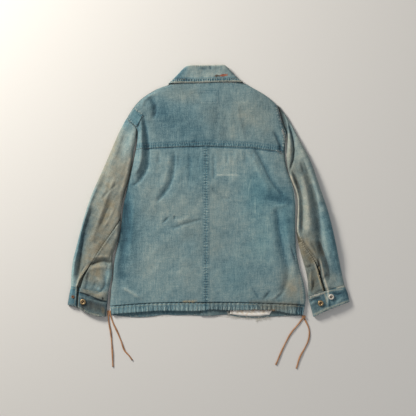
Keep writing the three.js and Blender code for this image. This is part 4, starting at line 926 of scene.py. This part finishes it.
metals = {
    "brass": makeMetal("worn brass", "#c2a980", "#8d7350", 0.42, 0.85),
    "white_metal": makeMetal("worn pale alloy", "#e9e4da", "#bdb4a6", 0.55, 0.5),
    "rusted_steel": makeMetal("rusted steel", "#9a6a48", "#5e4030", 0.7, 0.3),
    "hollow": makeMetal("tarnished hollow", "#4a3423", "#2c2119", 0.7, 0.5),
}
ringProfile = [(0, 0.15), (0.97, 0.15), (1, 0.3), (1, 0.62), (0.95, 0.86), (0.84, 0.98), (0.7, 1),
               (0.56, 0.96), (0.46, 0.82), (0.4, 0.6), (0.36, 0.5), (0.16, 0.48), (0.13, 0.62),
               (0.06, 0.68), (0, 0.68)]
discProfile = [(0, 0), (0.9, 0), (1, 0.16), (1, 0.7), (0.93, 0.94), (0.8, 1), (0.3, 0.9), (0, 0.88)]
# The tarnished ring of a button, as shares of its radius and height
hollow = {"inner": 0.14, "outer": 0.44, "above": 0.3}
buttons = {
    "left_cuff_button": ("brass", ringProfile), "left_cuff_tack": ("rusted_steel", ringProfile),
    "right_cuff_button_outer": ("white_metal", ringProfile),
    "right_cuff_button_inner": ("brass", ringProfile),
    **{"front_button_%d" % k: ("brass", discProfile) for k in range(1, 6)},
}
for nodeName, (metal, profile) in buttons.items():
    low, high = (Vector(corner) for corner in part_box(nodeName))
    radius, tall = (high.x - low.x) / 2, high.z - low.z
    centre = Vector(((low.x + high.x) / 2, (low.y + high.y) / 2, low.z))
    shape = bmesh.new()
    rim = [shape.verts.new((r * radius, 0, h * tall)) for r, h in profile]
    edges = [shape.edges.new(pair) for pair in zip(rim, rim[1:])]
    bmesh.ops.spin(shape, geom=rim + edges, cent=(0, 0, 0), axis=(0, 0, 1), angle=2 * math.pi, steps=40,
                   use_merge=True)
    bmesh.ops.remove_doubles(shape, verts=shape.verts, dist=1e-6)
    bmesh.ops.recalc_face_normals(shape, faces=shape.faces)
    bmesh.ops.translate(shape, verts=shape.verts, vec=centre)
    mesh = finishMesh(shape, "metal_" + nodeName, metals[metal], metals["hollow"])
    for face in mesh.polygons:
        reach = (face.center.xy - centre.xy).length
        inRing = hollow["inner"] * radius < reach < hollow["outer"] * radius
        raised = face.center.z > low.z + hollow["above"] * tall
        if profile is ringProfile and inRing and raised:
            face.material_index = 1
    piece = linkObject("metal_" + nodeName, mesh)
    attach(piece, "root")
    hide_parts(nodeName)
print("buttons")


# Vegetable-tanned leather lace: a smooth tan grain side, darker along its handled edges, and a
# paler fibrous flesh side that shows orange at the wide ends
def makeLeather(name, colour, flesh):
    made, tree = startMaterial(name)
    place = objectPlace(tree)
    grain = noiseAt(tree, place, 900, 3)
    handled = noiseAt(tree, place, 55, 3)
    share = clamped(tree, sums(tree, "MULTIPLY_ADD", handled, 2.2, -0.6))
    endMaterial(tree, mixColours(tree, share, linear(colour), linear(flesh)),
                {"Roughness": 0.55, "Specular IOR Level": 0.4}, grain, (0.35, 0.0003))
    return made


leather = makeLeather("tan leather lace", "#8a6245", "#bd8a60")
lace = {"width": 5.0, "thick": 2.2, "sides": 12, "step": 4.0, "rest": 1.25, "twist": 0.25, "least": 1.15}
laceRoutes = {
    "left_lace_outer": [[-301.8, -357], [-301, -372], [-299, -396], [-294, -421], [-291, -451],
        [-289, -485], [-287, -526]],
    "left_lace_inner": [[-296.1, -357], [-294.9, -370], [-286, -396], [-274, -421], [-262, -451],
        [-253, -476], [-239, -492], [-229, -506]],
    "right_lace_inner": [[281.0, -381.5], [271, -395], [248, -423], [232, -451], [216, -485], [201, -520]],
    "right_lace_outer": [[287.1, -382.1], [298, -404], [302, -423], [299, -446], [287, -472], [273, -497],
        [263, -531]],
}


def smoothRoute(points, step):
    # Places along a smooth line through points, step mm apart
    dense = []
    before = tuple(2 * np.array(points[0]) - points[1])
    after = tuple(2 * np.array(points[-1]) - points[-2])
    ends = [before] + list(points) + [after]
    for a, b, c, d in zip(ends, ends[1:], ends[2:], ends[3:]):
        a, b, c, d = (np.array(p, float) for p in (a, b, c, d))
        for t in np.linspace(0, 1, 12, endpoint=False):
            dense.append(0.5 * (2 * b + (c - a) * t + (2 * a - 5 * b + 4 * c - d) * t * t
                                + (3 * b - a - 3 * c + d) * t ** 3))
    dense.append(np.array(points[-1], float))
    dense = np.array(dense)
    run = np.concatenate([[0], np.cumsum(np.linalg.norm(np.diff(dense, axis=0), axis=1))])
    count = max(int(run[-1] / step), 12)
    wanted = np.linspace(0, run[-1], count + 1)
    return np.stack([np.interp(wanted, run, dense[:, k]) for k in range(dense.shape[1])], axis=1), run[-1]


def flatTube(name, route, widths, thick, twists):
    # A flat lace along a route in mm: bridged rings, each with its width and its turn
    shape = bmesh.new()
    rings = []
    for k, place in enumerate(route):
        before, after = route[max(k - 1, 0)], route[min(k + 1, len(route) - 1)]
        forward = Vector(after - before).normalized()
        aside = Vector((0, 0, 1)).cross(forward).normalized()
        up = forward.cross(aside)
        aside, up = (math.cos(twists[k]) * aside + math.sin(twists[k]) * up,
                     math.cos(twists[k]) * up - math.sin(twists[k]) * aside)
        turn = Matrix((aside, up, forward)).transposed().to_4x4()
        scale = Matrix.Diagonal((widths[k] / 2 * mm, thick / 2 * mm, 1, 1))
        made = bmesh.ops.create_circle(shape, segments=lace["sides"], radius=1,
                                       matrix=Matrix.Translation(Vector(place) * mm) @ turn @ scale)
        rings.append(made["verts"])
    shape.verts.ensure_lookup_table()
    loops = [list({edge for vert in ring for edge in vert.link_edges}) for ring in rings]
    for first, second in zip(loops, loops[1:]):
        bmesh.ops.bridge_loops(shape, edges=first + second)
    bmesh.ops.holes_fill(shape, edges=loops[0] + loops[-1], sides=lace["sides"])
    bmesh.ops.recalc_face_normals(shape, faces=shape.faces)
    return linkObject(name, finishMesh(shape, name, leather))


# The knot winds about its middle in a flattened trefoil
knotPlan = {"middle": (284.6, -376.6, 3.6), "wide": 1.5, "loopX": 3.0, "loopY": 3.2, "climb": 1.9,
            "width": 4.0, "thick": 2.4, "turn": 0.3, "places": 40}
knotTurns = np.linspace(0.3, 2 * math.pi - 0.1, knotPlan["places"])
knotX, knotY, knotZ = knotPlan["middle"]
wide = knotPlan["wide"]
knotRoute = np.stack([knotX + wide * np.sin(knotTurns) + knotPlan["loopX"] * np.sin(2 * knotTurns),
                      knotY + wide * np.cos(knotTurns) - knotPlan["loopY"] * np.cos(2 * knotTurns),
                      knotZ + knotPlan["climb"] * np.sin(3 * knotTurns)], axis=1)
knot = flatTube("leather_knot", knotRoute, [knotPlan["width"]] * knotPlan["places"], knotPlan["thick"],
                [knotPlan["turn"]] * knotPlan["places"])
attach(knot, "root")
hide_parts("right_lace_knot")
for laceName, points in laceRoutes.items():
    route, length = smoothRoute([(x, y, lace["rest"]) for x, y in points], lace["step"])
    shares = np.linspace(0, 1, len(route))
    twists = lace["twist"] * np.sin(shares * 9 + len(points))
    widths = lace["width"] * (0.86 + 0.14 * np.cos(shares * 17) + 0.12 * smoothStep((shares - 0.75) * 4))
    route[:, 2] = np.maximum(route[:, 2], widths / 2 * np.abs(np.sin(twists)) + lace["least"])
    piece = flatTube("lace_" + laceName, route, widths, lace["thick"], twists)
    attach(piece, "root")
    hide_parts(laceName)
    print("lace", laceName, round(length))

for name, piece in trim.items():
    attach(piece, "root")
for nodeName, piece in clothPieces.items():
    _, _, _, _, flat, areaShare, restsOn = cloth[nodeName]
    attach(piece, "root")
    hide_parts(nodeName)

# Table
shape = bmesh.new()
bmesh.ops.create_grid(shape, x_segments=2, y_segments=2, size=table["size"] / 2)
bmesh.ops.translate(shape, verts=shape.verts, vec=(0, 0, table["level"]))
floorMaterial, tree = startMaterial("painted table")
endMaterial(tree, linear(table["colour"]), {"Roughness": 0.85})
floor = linkObject("table", finishMesh(shape, "table", floorMaterial))
